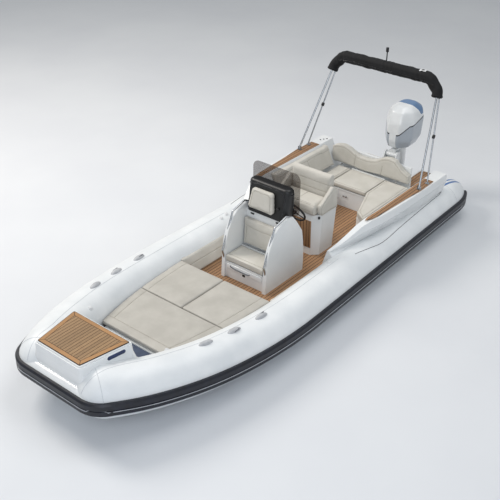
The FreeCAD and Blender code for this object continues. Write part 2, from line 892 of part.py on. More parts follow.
keep("headrest", shapeFeature("headrest", loftSolid([headWire(deckSeat), headWire(headrestThickness)], True)))
screenMiddle = consoleCentreY
keep("windscreen", shapeFeature("windscreen", loftSolid([
    roundedWire([Vector(x, screenMiddle + side * screenHalf, z) for side, z in (
        (-1, hoodFoot + deckSeat), (1, hoodFoot + deckSeat), (1, screenTopZ), (-1, screenTopZ))], screenCorner)
    for x in (hoodAftX - deckSeat - screenThickness, hoodAftX - deckSeat)], True)))

# Steering wheel on its column, turned to face the helm seat
wheelAxis = Vector(-math.cos(math.radians(wheelTilt)), 0, math.sin(math.radians(wheelTilt)))
wheelCentre = Vector(wheelX, wheelY, wheelZ)


def wheelShape():
    rim = Part.makeTorus(wheelRadius, wheelRim, wheelCentre, wheelAxis)
    hub = Part.makeCylinder(wheelHub, wheelHubLength, wheelCentre - wheelAxis * wheelHubLength / 2,
                            wheelAxis)
    spoke = Part.makeBox(wheelRadius, wheelSpokeWidth, wheelSpokeThickness,
                         Vector(0, -wheelSpokeWidth / 2, -wheelSpokeThickness / 2))
    turned = []
    for number in range(3):
        blade = spoke.copy()
        blade.rotate(Vector(0, 0, 0), Vector(0, 0, 1), 120 * number)
        blade.Placement = Placement(wheelCentre, Rotation(Vector(0, 0, 1), wheelAxis)).multiply(blade.Placement)
        turned.append(blade)
    return rim.fuse([hub] + turned)


keep("steering_wheel", shapeFeature("steering_wheel", wheelShape()))
columnTop = wheelCentre - wheelAxis * (wheelHubLength / 2 + pinGap)
columnBar = Part.makeCylinder(columnRadius, columnLength, columnTop, wheelAxis * -1)
keep("steering_column", shapeFeature("steering_column", columnBar.cut(nodes["console"].Shape).cut(
    nodes["binnacle"].Shape)))

# Helm seat: flared pedestal, padded double seat, backrest and arms
pedestalPlan = [(pedestalAftX, -pedestalHalf), (pedestalFrontX - pedestalChamfer, -pedestalHalf),
                (pedestalFrontX, -pedestalHalf + pedestalChamfer),
                (pedestalFrontX, pedestalHalf - pedestalChamfer),
                (pedestalFrontX - pedestalChamfer, pedestalHalf), (pedestalAftX, pedestalHalf)]


def pedestalWire(flare, z):
    grow = 1 + flare / pedestalHalf
    middle = (pedestalFrontX + pedestalAftX) / 2
    return polygonWire([(middle + (x - middle) * grow, consoleCentreY + y * grow, z)
                        for x, y in pedestalPlan])


keep("helm_pedestal", shapeFeature("helm_pedestal", loftSolid(
    [pedestalWire(0, deckZ), pedestalWire(pedestalFlare, pedestalTopZ)], True)))
helmY = ("consoleCentreY - helmSeatHalf", "consoleCentreY + helmSeatHalf")
helmSeatTop = pedestalTopZ + helmSeatThickness
keep("helm_seat_cushion", prism("helm_seat_cushion", "XZ_Plane", [
    (helmSeatAftX + deckSeat, pedestalTopZ + deckSeat), (helmSeatFrontX - armEdge / 2, pedestalTopZ + deckSeat),
    (helmSeatFrontX, pedestalTopZ + armEdge), (helmSeatFrontX, helmSeatTop - armEdge),
    [(helmSeatFrontX - armEdge * (1 - math.sqrt(0.5)), helmSeatTop - armEdge * (1 - math.sqrt(0.5))),
     (helmSeatFrontX - armEdge, helmSeatTop)], (helmSeatAftX + deckSeat, helmSeatTop)], *helmY))
bolsterX = (helmBackAftX + helmSeatAftX) / 2
keep("helm_backrest", prism("helm_backrest", "XZ_Plane", [
    (helmBackAftX, pedestalTopZ + deckSeat), (helmSeatAftX, pedestalTopZ + deckSeat),
    (helmSeatAftX, helmBackTopZ - bolsterRadius),
    [(bolsterX, helmBackTopZ), (helmBackAftX, helmBackTopZ - bolsterRadius)]], *helmY))
armOutline = [(helmBackAftX, helmBackBottomZ), (armFrontX - armEdge, helmBackBottomZ),
              (armFrontX, helmBackBottomZ + armEdge), (armFrontX, armFrontZ - armEdge),
              [(armFrontX - armEdge * (1 - math.sqrt(0.5)), armFrontZ - armEdge * (1 - math.sqrt(0.5))),
               (armFrontX - armEdge, armFrontZ)],
              (helmSeatAftX, armRearZ), (helmBackAftX, armRearZ - armEdge)]
arms = [prism("helm_arm_%s" % word, "XZ_Plane", armOutline, *span)
        for word, span in (("port", (helmY[1] + " + deckSeat", helmY[1] + " + deckSeat + armThickness")),
                           ("starboard", (helmY[0] + " - deckSeat - armThickness", helmY[0] + " - deckSeat")))]
group("helm_arms", *arms)

# Coamings: moulded walls from the sole to above the tubes, whose noses run down forward.
# Each row: the share of the length from aft, of the height above the welt, and then the
# inner lip, the outer lip and the welt as shares of the tubes' half span.
coamingShares = [(0, 1, 0.895, 1.075, 1.035), (0.254, 1, 0.895, 1.075, 1.045),
                 (0.446, 1, 0.895, 1.060, 1.012), (0.581, 1, 0.895, 1.040, 0.975),
                 (0.677, 1, 0.895, 1.020, 0.945), (0.752, 0.98, 0.880, 0.985, 0.920),
                 (0.812, 0.82, 0.850, 0.935, 0.890), (0.869, 0.54, 0.812, 0.885, 0.860),
                 (0.931, 0.26, 0.770, 0.830, 0.820), (1, 0.06, 0.730, 0.765, 0.760)]
shoulderShare = 0.35


def coamingStation(along, high, inner, outer, welt):
    x = coamingAftX + along * (coamingFrontX - coamingAftX)
    z = coamingWeltZ + high * (coamingTop - coamingWeltZ)
    inner, outer, welt = (share * tubeHalfSpan for share in (inner, outer, welt))
    section = [(coamingInnerFoot, soleUnderside), (coamingInnerKnee, coamingKneeZ), (inner, z), (outer, z),
               (outer + (outer - welt) * shoulderShare, z - (z - coamingWeltZ) * shoulderShare),
               (welt, coamingWeltZ), (tubeHalfSpan, tubeHeight), (hullTopHalfBeam, soleUnderside)]
    return polygonWire([(x, y, rise) for y, rise in section])


coamingBlank = loftSolid([coamingStation(*row) for row in coamingShares], True)
walls = [cut("coaming_" + word, shapeFeature("coaming_blank_" + word, blank), tube, nodes["hull"])
         for word, blank, tube in (("port", coamingBlank, tubePort),
                                   ("starboard", mirrored(coamingBlank), tubeStarboard))]
group("coamings", *walls)

# Teak caps: places along the outer and the inner edge, as shares of the length and of the half span
teakOuterShares = [(0.14, 1.050), (0.29, 1.056), (0.43, 1.024), (0.58, 1.004), (0.69, 0.992), (0.74, 0.968)]
teakInnerShares = [(0.775, 0.920), (0.74, 0.902), (0.677, 0.909), (0.57, 0.911), (0.14, 0.907)]


def coamingCap(label, side):
    outline = [(coamingAftX + along * (coamingFrontX - coamingAftX), side * out * tubeHalfSpan)
               for along, out in teakOuterShares + teakInnerShares]
    return prism(label, "XY_Plane", outline, "coamingTop", "coamingTop + coamingTeak")


group("coaming_teak", coamingCap("teak_cap_port", 1), coamingCap("teak_cap_starboard", -1))

# Padded lining between the sole and the tubes
liningSection = [(liningFoot - liningThickness, deckZ + deckSeat), (liningFoot, deckZ + deckSeat),
                 (tubeHalfSpan, liningTop), (tubeHalfSpan - tubeRadius, liningTop)]
linings = []
for side, word, tube in ((1, "port", tubePort), (-1, "starboard", tubeStarboard)):
    slab = prism("lining_slab_" + word, "YZ_Plane", flip(liningSection, side), "coamingFrontX + softGap",
                 "sunAftX - softGap")
    linings.append(cut("side_lining_" + word, slab, tube, nodes["hull"]))
group("side_linings", *linings)

# Aft sofa: base with a locker under the bench, lid, cushions and backrests
sofaPlan = [(sofaAftX, -sofaStarboardHalf), (sofaWingFrontX, -sofaStarboardHalf),
            (sofaWingFrontX, -sofaStarboardInner), (sofaBenchFrontX, -sofaStarboardInner),
            (sofaBenchFrontX, sofaPortInnerAft), (sofaWingFrontX, sofaPortInnerFront),
            (sofaPortNoseX, sofaPortHalf), (sofaAftX, sofaPortHalf)]
sofaBlank = prism("sofa_blank", "XY_Plane", sofaPlan, "soleUnderside", "sofaTop")
benchWell = box("bench_well", ("benchHingeX + lockerRim", "sofaBenchFrontX - lockerRim"),
                ("-sofaStarboardInner + lockerRim", "sofaPortInnerAft - lockerRim"),
                ("benchLockerFloor", "sofaTop + overrun"))
keep("sofa_base", cut("sofa_base", sofaBlank, benchWell))
benchY = ("-sofaStarboardInner + cushionGap", "sofaPortInnerAft - cushionGap")
benchFront = "sofaBenchFrontX + cushionOverhang"
benchTop = "sofaTop + benchLidThickness + cushionThickness"
benchPlate = box("bench_plate", ("benchHingeX", benchFront + " - cushionOverhang / 2"), benchY,
                 ("sofaTop + deckSeat", "sofaTop + benchLidThickness"))
benchBack = box("bench_back_plate", ("benchHingeX", "benchHingeX + benchUpstand"), benchY,
                ("sofaTop + deckSeat", benchTop))
keep("bench_lid", fuse("bench_lid", benchPlate, benchBack))
keep("bench_cushion", box("bench_cushion", ("benchHingeX + benchUpstand + deckSeat", benchFront), benchY,
                          ("sofaTop + benchLidThickness + deckSeat", benchTop)))
cushionLow = "sofaTop + deckSeat"
keep("wing_cushion_port", prism("wing_cushion_port", "XY_Plane", [
    (benchHingeX, sofaPortInnerAft), (sofaBenchFrontX, sofaPortInnerAft),
    (sofaWingFrontX, sofaPortInnerFront), (sofaPortNoseX, sofaPortHalf),
    (benchHingeX, sofaPortHalf)], cushionLow, benchTop))
keep("wing_cushion_starboard", prism("wing_cushion_starboard", "XY_Plane", [
    (benchHingeX, -sofaStarboardHalf), (sofaWingFrontX, -sofaStarboardHalf),
    (sofaWingFrontX, -sofaStarboardInner), (benchHingeX, -sofaStarboardInner)],
    cushionLow, benchTop))
keep("stern_bulkhead", box("stern_bulkhead", ("bulkheadX - bulkheadThickness", "bulkheadX"),
                           ("bulkheadStarboard", "bulkheadPort"), ("soleUnderside", "bulkheadTop")))


# Stern backrest: two crowned humps with a dip between them
backFoot = sofaTop + benchLidThickness + cushionThickness + softGap
backShares = [(0, 0.74), [(0.13, 0.92), (0.25, 0.84)], [(0.31, 0.73), (0.37, 0.656)], (0.485, 0.656),
              [(0.57, 0.74), (0.65, 0.90)], [(0.76, 1), (0.835, 0.93)], [(0.90, 0.68), (1, 0.40)]]


def backPlace(place):
    # A share of the span and of the rise, in Y and Z.
    return (backStarboard + place[0] * (backPort - backStarboard), backFoot + place[1] * backRise)


backTopLine = [[backPlace(point) for point in step] if isinstance(step, list) else backPlace(step)
               for step in backShares]
wingShare = 0.895
innerSlope = (wingShare * tubeHalfSpan - coamingInnerKnee) / (coamingTop - coamingKneeZ)


def coamingInner(z):
    return coamingInnerKnee + innerSlope * (z - coamingKneeZ)


# Its starboard end leans out with the coaming until it stands upright
backUprightZ = coamingKneeZ + (deckSeat - backStarboard - coamingInnerKnee) / innerSlope
keep("stern_backrest", prism("stern_backrest", "YZ_Plane",
     [(backPort, backFoot), (deckSeat - coamingInner(backFoot), backFoot),
      (backStarboard, backUprightZ)] + backTopLine,
     "bulkheadX + deckSeat", "bulkheadX + backThickness"))
keep("wing_backrest", prism("wing_backrest", "YZ_Plane", flip([
    (coamingInner(backFoot) - deckSeat - wingBackThickness, backFoot),
    (coamingInner(backFoot) - deckSeat, backFoot),
    (coamingInner(wingBackTop) - deckSeat, wingBackTop),
    (coamingInner(wingBackTop) - deckSeat - wingBackThickness, wingBackTop)], -1),
    "wingBackAftX", "wingBackFrontX"))

# Stern platforms, well floor and transom
platformOutline = [(platformFrontX, soleUnderside + deckSeat), (hullAftX, soleUnderside),
                   (platformAftX, platformTop - platformTip), (platformAftX, platformTop),
                   (platformFrontX, platformTop)]
platforms = []
for side, word, tube in ((1, "port", tubePort), (-1, "starboard", tubeStarboard)):
    span = ["platformInner", "platformOuter + overrun"]
    if side < 0:
        span = ["-platformOuter - overrun", "-platformInner"]
    deck = prism("platform_deck_" + word, "XZ_Plane", platformOutline, *span)
    platforms.append(cut("platform_" + word, deck, tube))
group("platforms", *platforms)


def platformBoard(word, side):
    low, high = sorted((side * (platformInner + teakMargin), side * (platformOuter - teakMargin)))
    return prism("platform_teak_" + word, "XY_Plane", [
        (platformAftX + teakMargin, low), (platformFrontX - teakMargin, low),
        (platformFrontX - teakMargin, high), (platformAftX + teakMargin, high)],
        "platformTop", "platformTop + platformTeak")


group("platform_teak", platformBoard("port", 1), platformBoard("starboard", -1))
transomSpan = ("-transomHalf", "transomHalf")
keep("transom", box("transom", ("hullAftX", "hullAftX + transomThickness"), transomSpan,
                    ("soleUnderside", "transomTop")))


# Outboard: clamp bracket on the transom, with the tilt tube through it
clampOutline = [(hullAftX - deckSeat, clampBottom), (hullAftX - deckSeat, transomTop),
                (tiltAxisX + 2 * tiltTubeRadius, clampTop), (tiltAxisX - clampPlate, clampTop),
                (clampAftX, tiltAxisZ - 2 * tiltTubeRadius), (clampAftX, clampBottom)]
clampPlates = [prism("clamp_plate_port", "XZ_Plane", clampOutline, "clampHalf - clampPlate", "clampHalf"),
               prism("clamp_plate_starboard", "XZ_Plane", clampOutline, "-clampHalf",
                     "-clampHalf + clampPlate")]
tiltTube = rod("tilt_tube", "tiltTubeRadius", "2 * clampHalf", (tiltAxisX, -clampHalf, tiltAxisZ),
               Vector(0, 1, 0))
keep("clamp_bracket", fuse("clamp_bracket", tiltTube, *clampPlates))

# Swivel bracket: hangs on the tilt tube and holds the steering shaft
swivelOutline = [(swivelAftX, swivelBottom), (swivelFrontX - clampPlate, swivelBottom),
                 (swivelFrontX, tiltAxisZ - 3 * tiltTubeRadius),
                 (tiltAxisX + 2 * tiltTubeRadius, tiltAxisZ - tiltTubeRadius),
                 [(tiltAxisX + 2 * tiltTubeRadius + softGap, tiltAxisZ),
                  (tiltAxisX + tiltTubeRadius, swivelTop)], (swivelAftX, swivelTop)]
swivelBlank = prism("swivel_blank", "XZ_Plane", swivelOutline, "-swivelHalf", "swivelHalf")
tiltBore = rod("tilt_bore", "tiltTubeRadius + pinGap", "2 * clampHalf",
               (tiltAxisX, -clampHalf, tiltAxisZ), Vector(0, 1, 0))
steerBore = rod("steer_bore", "steerShaft + pinGap", "swivelTop - swivelBottom + 2 * overrun",
                (steerAxisX, 0, swivelBottom - overrun))
keep("swivel_bracket", cut("swivel_bracket", swivelBlank, tiltBore, steerBore))

# Leg: a streamlined housing on two yokes, with the steering shaft through the swivel bracket
legShares = [(0, 0.55), (0.22, 1), (0.62, 0.88), (1, 0.12)]


def foilWire(frontX, aftX, half, z):
    # A leaf section, blunt in front and thin behind.
    edge = [Vector(frontX + share * (aftX - frontX), half * wide, z) for share, wide in legShares]
    points = [Vector(frontX, 0, z)] + edge[1:] + [Vector(p.x, -p.y, z) for p in reversed(edge[1:])]
    curve = Part.BSplineCurve()
    curve.interpolate(points, True)
    return Part.Wire(curve.toShape())


legLoft = shapeFeature("leg_loft", loftSolid([
    foilWire(legFrontX, legAftX, legHalf * 0.62, plateZ),
    foilWire(legFrontX, legAftX, legHalf, (plateZ + legTop) / 2),
    foilWire(legFrontX, legAftX, legHalf, legTop)]))
yokes = [box("yoke_%s" % word, ("legFrontX - 2 * clampPlate", "steerAxisX + yokeHalf"),
             ("-yokeHalf", "yokeHalf"), span)
         for word, span in (("upper", ("swivelTop + runningGap", "swivelTop + runningGap + yokeThickness")),
                            ("lower", ("swivelBottom - runningGap - yokeThickness",
                                       "swivelBottom - runningGap")))]
shaft = rod("steer_shaft", "steerShaft", "swivelTop - swivelBottom + 2 * runningGap + 2 * yokeThickness",
            (steerAxisX, 0, swivelBottom - runningGap - yokeThickness))
keep("outboard_leg", fuse("outboard_leg", legLoft, shaft, *yokes))

# Gearcase with its plate and skeg
bullet = Part.BSplineCurve()
bullet.interpolate([Vector(gearFrontX, 0, 0), Vector(gearFrontX - gearRadius / 2, 0, gearRadius * 0.72),
                    Vector(gearFrontX - 3 * gearRadius, 0, gearRadius),
                    Vector(gearAftX, 0, gearRadius * 0.86)])
bulletFace = Part.Face(Part.Wire([bullet.toShape(), Part.makeLine(
    Vector(gearAftX, 0, gearRadius * 0.86), Vector(gearAftX, 0, 0)),
    Part.makeLine(Vector(gearAftX, 0, 0), Vector(gearFrontX, 0, 0))]))
torpedo = shapeFeature("torpedo", bulletFace.revolve(Vector(0, 0, 0), Vector(1, 0, 0), 360).translated(
    Vector(0, 0, gearAxisZ)))
strut = shapeFeature("strut", loftSolid([
    foilWire(legFrontX, legAftX, gearRadius * 0.6, gearAxisZ),
    foilWire(legFrontX, legAftX, legHalf * 0.62, plateZ - plateThickness)]))
plate = prism("plate", "XY_Plane", [
    (plateAftX, -plateHalf), (legAftX, -plateHalf),
    [(legFrontX, -plateHalf * 0.8), (plateFrontX, 0)], [(legFrontX, plateHalf * 0.8),
                                                              (legAftX, plateHalf)],
    (plateAftX, plateHalf)], "plateZ - plateThickness", "plateZ")
skeg = prism("skeg", "XZ_Plane", [
    (skegFrontX, gearAxisZ), (skegFrontX - gearRadius, gearAxisZ - 2 * gearRadius),
    (skegAftX + gearRadius, skegBottom), (skegAftX, skegBottom),
    (skegAftX + gearRadius / 2, gearAxisZ)], "-skegThickness / 2", "skegThickness / 2")
keep("outboard_gearcase", fuse("outboard_gearcase", torpedo, strut, plate, skeg))

# Cowl: angular sections, narrow in front and cut back at the top, round the engine block.
# Each row: the share of the height, what front and back lose of the length, and the width.
cowlShares = [(0, 0.06, 0.20, 0.78), (0.20, 0, 0.05, 0.98), (0.62, 0.02, 0, 1), (0.88, 0.11, 0.06, 0.88),
              (1, 0.28, 0.22, 0.52)]
cowlPlanShares = [(0, 0.42), (0.28, 1), (0.80, 0.94), (1, 0.56)]


def cowlWire(rise, trimFront, trimAft, wide):
    length = cowlFrontX - cowlAftX
    front = cowlFrontX - trimFront * length
    aft = cowlAftX + trimAft * length
    z = cowlBottom + rise * (cowlTop - cowlBottom)
    side = [Vector(front + along * (aft - front), cowlHalf * wide * out, z) for along, out in cowlPlanShares]
    return roundedWire(side + [Vector(p.x, -p.y, z) for p in reversed(side)], cowlCorner)


cowlBlank = shapeFeature("cowl_blank", loftSolid([cowlWire(*row) for row in cowlShares], True))
blockSpans = (("blockFrontX - blockLength", "blockFrontX"), ("-blockWidth / 2", "blockWidth / 2"),
              ("blockBottomZ", "blockBottomZ + blockHeight"))
blockSpace = box("block_space", ("blockFrontX - blockLength - softGap", "blockFrontX + softGap"),
                 ("-blockWidth / 2 - softGap", "blockWidth / 2 + softGap"),
                 ("blockBottomZ", "blockBottomZ + blockHeight + softGap"))
keep("outboard_cowl", cut("outboard_cowl", cowlBlank, blockSpace, nodes["outboard_leg"]))
keep("engine_block", box("engine_block", *blockSpans))


# Propeller: a hub and three twisted blades
def bladeShape():
    wires = []
    for share, chord in ((0.2, bladeRootChord), (0.6, (bladeRootChord + bladeTipChord) * 0.62),
                         (1, bladeTipChord * 0.6)):
        radius = propellerRadius * share
        pitch = math.atan2(propellerRadius, 2.6 * radius)
        half = Vector(math.sin(pitch), math.cos(pitch), 0) * (chord / 2)
        thick = Vector(math.cos(pitch), -math.sin(pitch), 0) * (bladeThickness / 2 * (1.4 - share))
        corners = [half + thick, half * -1 + thick, half * -1 - thick, half - thick]
        wires.append(Part.makePolygon([Vector(c.x, c.y, radius) for c in corners + corners[:1]]))
    return loftSolid(wires)


hubAftX = gearAftX - propellerGap - hubLength
hub = Part.makeCylinder(hubRadius, hubLength, Vector(hubAftX, 0, 0), Vector(1, 0, 0))
blades = []
for number in range(3):
    blade = bladeShape().translated(Vector(hubAftX + hubLength / 2, 0, 0))
    blade.rotate(Vector(0, 0, 0), Vector(1, 0, 0), 120 * number)
    blades.append(blade)
propShaft = Part.makeCylinder(hubRadius / 3, propellerGap - pinGap, Vector(
    gearAftX - propellerGap, 0, 0), Vector(1, 0, 0))
keep("propeller", shapeFeature("propeller", hub.fuse(blades + [propShaft]).translated(
    Vector(0, 0, gearAxisZ))))

# Folded awning: hoop, braces, boot and lamp, and the deck hinges that carry them
coamingTopTeak = coamingTop + coamingTeak
hoopFootZ = coamingTopTeak + footHeight
hoopPoints = [Vector(hoopFootX, -hoopFootY, hoopFootZ), Vector(hoopTopX, -hoopTopY, hoopTopZ),
              Vector(hoopTopX - bootSag, -hoopTopY + hoopBend, hoopTopZ + bootRise),
              Vector(hoopTopX - bootSag, hoopTopY - hoopBend, hoopTopZ + bootRise),
              Vector(hoopTopX, hoopTopY, hoopTopZ), Vector(hoopFootX, hoopFootY, hoopFootZ)]
hoopLean = (hoopPoints[1] - hoopPoints[0]).normalize()
hoopEnds = [hoopPoints[0] - hoopLean * hoopEnd] + hoopPoints[1:5] + [
    hoopPoints[5] - (hoopPoints[4] - hoopPoints[5]).normalize() * hoopEnd]
hoop = bentTube(hoopEnds, hoopRadius, hoopBend)
bootPath = [hoopPoints[1] + (hoopPoints[1] - hoopPoints[0]).normalize() * -bootRadius] + hoopPoints[1:5] + [
    hoopPoints[4] + (hoopPoints[4] - hoopPoints[5]).normalize() * -bootRadius]
boot = bentTube(bootPath, bootRadius, hoopBend)
hoopTool = bentTube(hoopPoints, hoopRadius, hoopBend)
braces = []
braceStemZ = hoopFootZ - hoopEnd / 2
for side in (1, -1):
    top = Vector(braceTopX, side * hoopTopY, hoopTopZ - bootRadius)
    lean = (top - Vector(braceFootX, side * hoopFootY, braceStemZ)).normalize()
    drop = braceRadius * math.sqrt(1 - lean.z ** 2)
    foot = Vector(braceFootX, side * hoopFootY, braceStemZ + drop + deckSeat)
    braces.append(Part.makeCylinder(braceRadius, (top - foot).Length, foot, top - foot))
pinBores = [Part.makeCylinder(footPin + pinGap, 2 * hoopBend, Vector(
    hoopFootX, side * hoopFootY - hoopBend, hoopFootZ), Vector(0, 1, 0)) for side in (1, -1)]
keep("awning_hoop", shapeFeature("awning_hoop", hoop.cut(pinBores)))
keep("awning_boot", shapeFeature("awning_boot", boot.cut(hoopTool)))
keep("awning_braces", shapeFeature("awning_braces", Part.makeCompound(
    [brace.cut(boot) for brace in braces])))


def hoopFoot(x, y, pinned):
    # A round base on the teak; the hinged ones have two ears and a pin.
    base = Part.makeCylinder(footRadius, footBase, Vector(x, y, coamingTopTeak))
    if not pinned:
        stemFoot = coamingTopTeak + footBase
        stem = Part.makeCylinder(braceRadius, braceStemZ - stemFoot, Vector(x, y, stemFoot))
        return base.fuse(stem)
    gap = hoopRadius + runningGap / 2
    ears = [Part.makeBox(2 * hoopRadius, footEar, footHeight - footBase + hoopEnd, Vector(
        x - hoopRadius, y + low, coamingTopTeak + footBase)) for low in (gap, -gap - footEar)]
    pin = Part.makeCylinder(footPin, 2 * gap, Vector(x, y - gap, hoopFootZ), Vector(0, 1, 0))
    return base.fuse(ears + [pin])


feet = [hoopFoot(x, side * hoopFootY, pinned) for side in (1, -1)
        for x, pinned in ((hoopFootX, True), (braceFootX, False))]
keep("awning_feet", shapeFeature("awning_feet", Part.makeCompound(feet)))
mastFoot = Vector(hoopTopX - bootSag, 0, hoopTopZ + bootRise + bootRadius - footBase)
mast = Part.makeCylinder(mastRadius, mastHeight, mastFoot)
lamp = Part.makeCylinder(lampRadius, lampHeight, mastFoot + Vector(0, 0, mastHeight))
keep("stern_light", shapeFeature("stern_light", mast.fuse(lamp).cut(nodes["awning_boot"].Shape)))

# Moulded grips on the tubes, cleats and towing eyes
handleShares = (0.25, 0.41, 0.56)


def tubePoint(share):
    # The crown of the port tube at a share of its bow bend, and the heading there.
    wire = Part.Wire(pathAlong(axisPoints, axisTangents[0])[1:])
    points = wire.discretize(101)
    place = points[round(100 * share)]
    ahead = points[round(100 * share) + 1]
    return place + Vector(0, 0, tubeRadius), (ahead - place).normalize()


def handleShape(share):
    # A long half egg, half sunk, that stands a grip's height above the crown.
    crown, along = tubePoint(share)
    arch = Part.Ellipse(Vector(0, 0, 0), handleLength / 2, handleWidth / 2)
    outline = Part.Wire([arch.toShape(0, math.pi), Part.LineSegment(
        Vector(-handleLength / 2, 0, 0), Vector(handleLength / 2, 0, 0)).toShape()])
    egg = Part.Face(outline).revolve(Vector(0, 0, 0), Vector(1, 0, 0), 360)
    egg.Placement = Placement(crown - Vector(0, 0, handleWidth / 2 - handleHeight),
                              Rotation(Vector(1, 0, 0), along))
    return egg.cut(tubePort.Shape)


portHandles = [handleShape(share) for share in handleShares]
keep("tube_handles", shapeFeature("tube_handles", Part.makeCompound(
    [solid for shape in portHandles for solid in shape.Solids] +
    [solid for shape in portHandles for solid in mirrored(shape).Solids])))


def cleatShape(x, y, z):
    # Two posts and a bar with upturned ends.
    posts = [Part.makeCylinder(cleatWidth / 3, cleatHeight, Vector(along * cleatLength / 5, 0, 0))
             for along in (1, -1)]
    bar = Part.makeCylinder(cleatWidth / 2.6, cleatLength, Vector(-cleatLength / 2, 0, cleatHeight),
                            Vector(1, 0, 0))
    return bar.fuse(posts).translated(Vector(x, y, z))


sternCleats = [cleatShape(platformFrontX - cleatLength, side * (platformOuter + teakMargin / 3),
                          platformTop) for side in (1, -1)]
keep("mooring_cleats", shapeFeature("mooring_cleats", Part.makeCompound(sternCleats)))


def eyeShape():
    # A towing eye: a level lug with one upright bore, on a plate.
    lug = Part.makeCylinder(eyePlate / 2, eyeThickness, Vector(0, 0, -eyeThickness / 2))
    web = Part.makeBox(eyeReach, eyePlate, eyeThickness, Vector(0, -eyePlate / 2, -eyeThickness / 2))
    plate = Part.makeBox(eyeThickness, eyePlate * 1.4, eyePlate,
                         Vector(eyeReach, -eyePlate * 0.7, -eyePlate / 2))
    bore = Part.makeCylinder(eyeBore, 2 * eyeThickness, Vector(0, 0, -eyeThickness))
    return lug.fuse([web, plate]).cut(bore)


eyeX = hullAftX - eyeReach - eyeThickness - deckSeat
sternEyes = [eyeShape().translated(Vector(eyeX, side * eyeY, eyeZ)) for side in (1, -1)]
keep("stern_eyes", shapeFeature("stern_eyes", Part.makeCompound(sternEyes)))


# Every feature is checked before anything is written
doc.recompute()
for feature in doc.Objects:
    if {"Invalid", "Error"} & set(feature.State):
        raise RuntimeError("feature failed: " + feature.Label)
for name, feature in nodes.items():
    shape = feature.Shape
    if shape.isNull() or not shape.isValid() or not shape.Solids:
        raise RuntimeError("bad shape: " + name)
    print(name, len(shape.Solids), round(shape.Volume / 1e6, 1), "dm3")
os.makedirs("parts", exist_ok=True)
for name, feature in nodes.items():
    feature.Shape.exportStep("parts/%s.step" % name)
print(len(nodes), "nodes written")
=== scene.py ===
import bpy
import bmesh
import json
import math
from mathutils import Matrix, Vector
from mathutils.bvhtree import BVHTree
from mathutils.kdtree import KDTree


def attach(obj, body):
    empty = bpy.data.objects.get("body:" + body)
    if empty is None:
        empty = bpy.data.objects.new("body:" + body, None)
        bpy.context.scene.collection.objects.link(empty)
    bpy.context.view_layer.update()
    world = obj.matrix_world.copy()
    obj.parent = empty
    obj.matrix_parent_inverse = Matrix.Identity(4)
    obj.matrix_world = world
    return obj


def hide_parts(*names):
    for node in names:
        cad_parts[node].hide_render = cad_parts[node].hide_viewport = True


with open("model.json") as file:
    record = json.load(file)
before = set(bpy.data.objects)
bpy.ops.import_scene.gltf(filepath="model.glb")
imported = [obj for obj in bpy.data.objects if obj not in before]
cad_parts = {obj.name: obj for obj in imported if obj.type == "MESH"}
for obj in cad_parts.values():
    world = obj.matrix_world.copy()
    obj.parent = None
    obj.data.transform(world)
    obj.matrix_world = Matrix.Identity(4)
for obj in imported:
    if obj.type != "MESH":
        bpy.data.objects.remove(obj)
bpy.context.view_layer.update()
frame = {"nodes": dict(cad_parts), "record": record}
nodes = frame["nodes"]
print("frame loaded:", len(nodes), "nodes")


# Materials: one function for colours, one for nodes
def hexColour(text):
    values = [int(text[i:i + 2], 16) / 255 for i in (0, 2, 4)]
    return [v / 12.92 if v <= 0.04045 else ((v + 0.055) / 1.055) ** 2.4 for v in values] + [1.0]


def addNode(tree, kind, settings=None, links=None):
    node = tree.nodes.new("ShaderNode" + kind)
    for name, value in (settings or {}).items():
        if isinstance(name, int) or name in node.inputs:
            node.inputs[name].default_value = value
        else:
            setattr(node, name, value)
    for name, (source, output) in (links or {}).items():
        tree.links.new(source.outputs[output], node.inputs[name])
    return node


def mathNode(tree, operation, *inputs):
    # Each input is a number, a node, or a node and the name of its output.
    values = {place: value for place, value in enumerate(inputs) if isinstance(value, (int, float))}
    links = {place: value if isinstance(value, tuple) else (value, 0)
             for place, value in enumerate(inputs) if place not in values}
    return addNode(tree, "Math", {"operation": operation, **values}, links)


def drawn(tree, place, kind, settings):
    # A pattern that keeps its place on the piece, in metres.
    return addNode(tree, kind, settings, {"Vector": (place, "Object")})


def paintedBy(tree, shader, node, output):
    tree.links.new(node.outputs[output], shader.inputs["Base Color"])


def newMaterial(name, settings):
    material = bpy.data.materials.new(name)
    material.use_nodes = True
    tree = material.node_tree
    shader = tree.nodes["Principled BSDF"]
    for socket, value in settings.items():
        shader.inputs[socket].default_value = value
    place = addNode(tree, "TexCoord")
    return material, tree, shader, place


def setRamp(ramp, stops):
    elements = ramp.color_ramp.elements
    while len(elements) > len(stops):
        elements.remove(elements[-1])
    while len(elements) < len(stops):
        elements.new(0.5)
    for element, (position, colour) in zip(elements, stops):
        element.position = position
        element.color = colour


def mottled(tree, place, low, high, size):
    # A soft change between two close colours over the given size in metres.
    noise = drawn(tree, place, "TexNoise", {"Scale": 1 / size, "Detail": 4, "Roughness": 0.55})
    ramp = addNode(tree, "ValToRGB", {}, {"Fac": (noise, "Fac")})
    setRamp(ramp, [(0.35, hexColour(low)), (0.68, hexColour(high))])
    return ramp, noise


def painted(tree, shader, place, low, high, size):
    ramp, noise = mottled(tree, place, low, high, size)
    paintedBy(tree, shader, ramp, "Color")
    return noise


def joinBump(tree, shader, sources):
    # Stacks bump layers given as (node, output, distance in metres, strength).
    last = None
    for node, output, distance, strength in sources:
        bump = addNode(tree, "Bump", {"Distance": distance, "Strength": strength}, {"Height": (node, output)})
        if last:
            tree.links.new(last.outputs["Normal"], bump.inputs["Normal"])
        last = bump
    tree.links.new(last.outputs["Normal"], shader.inputs["Normal"])


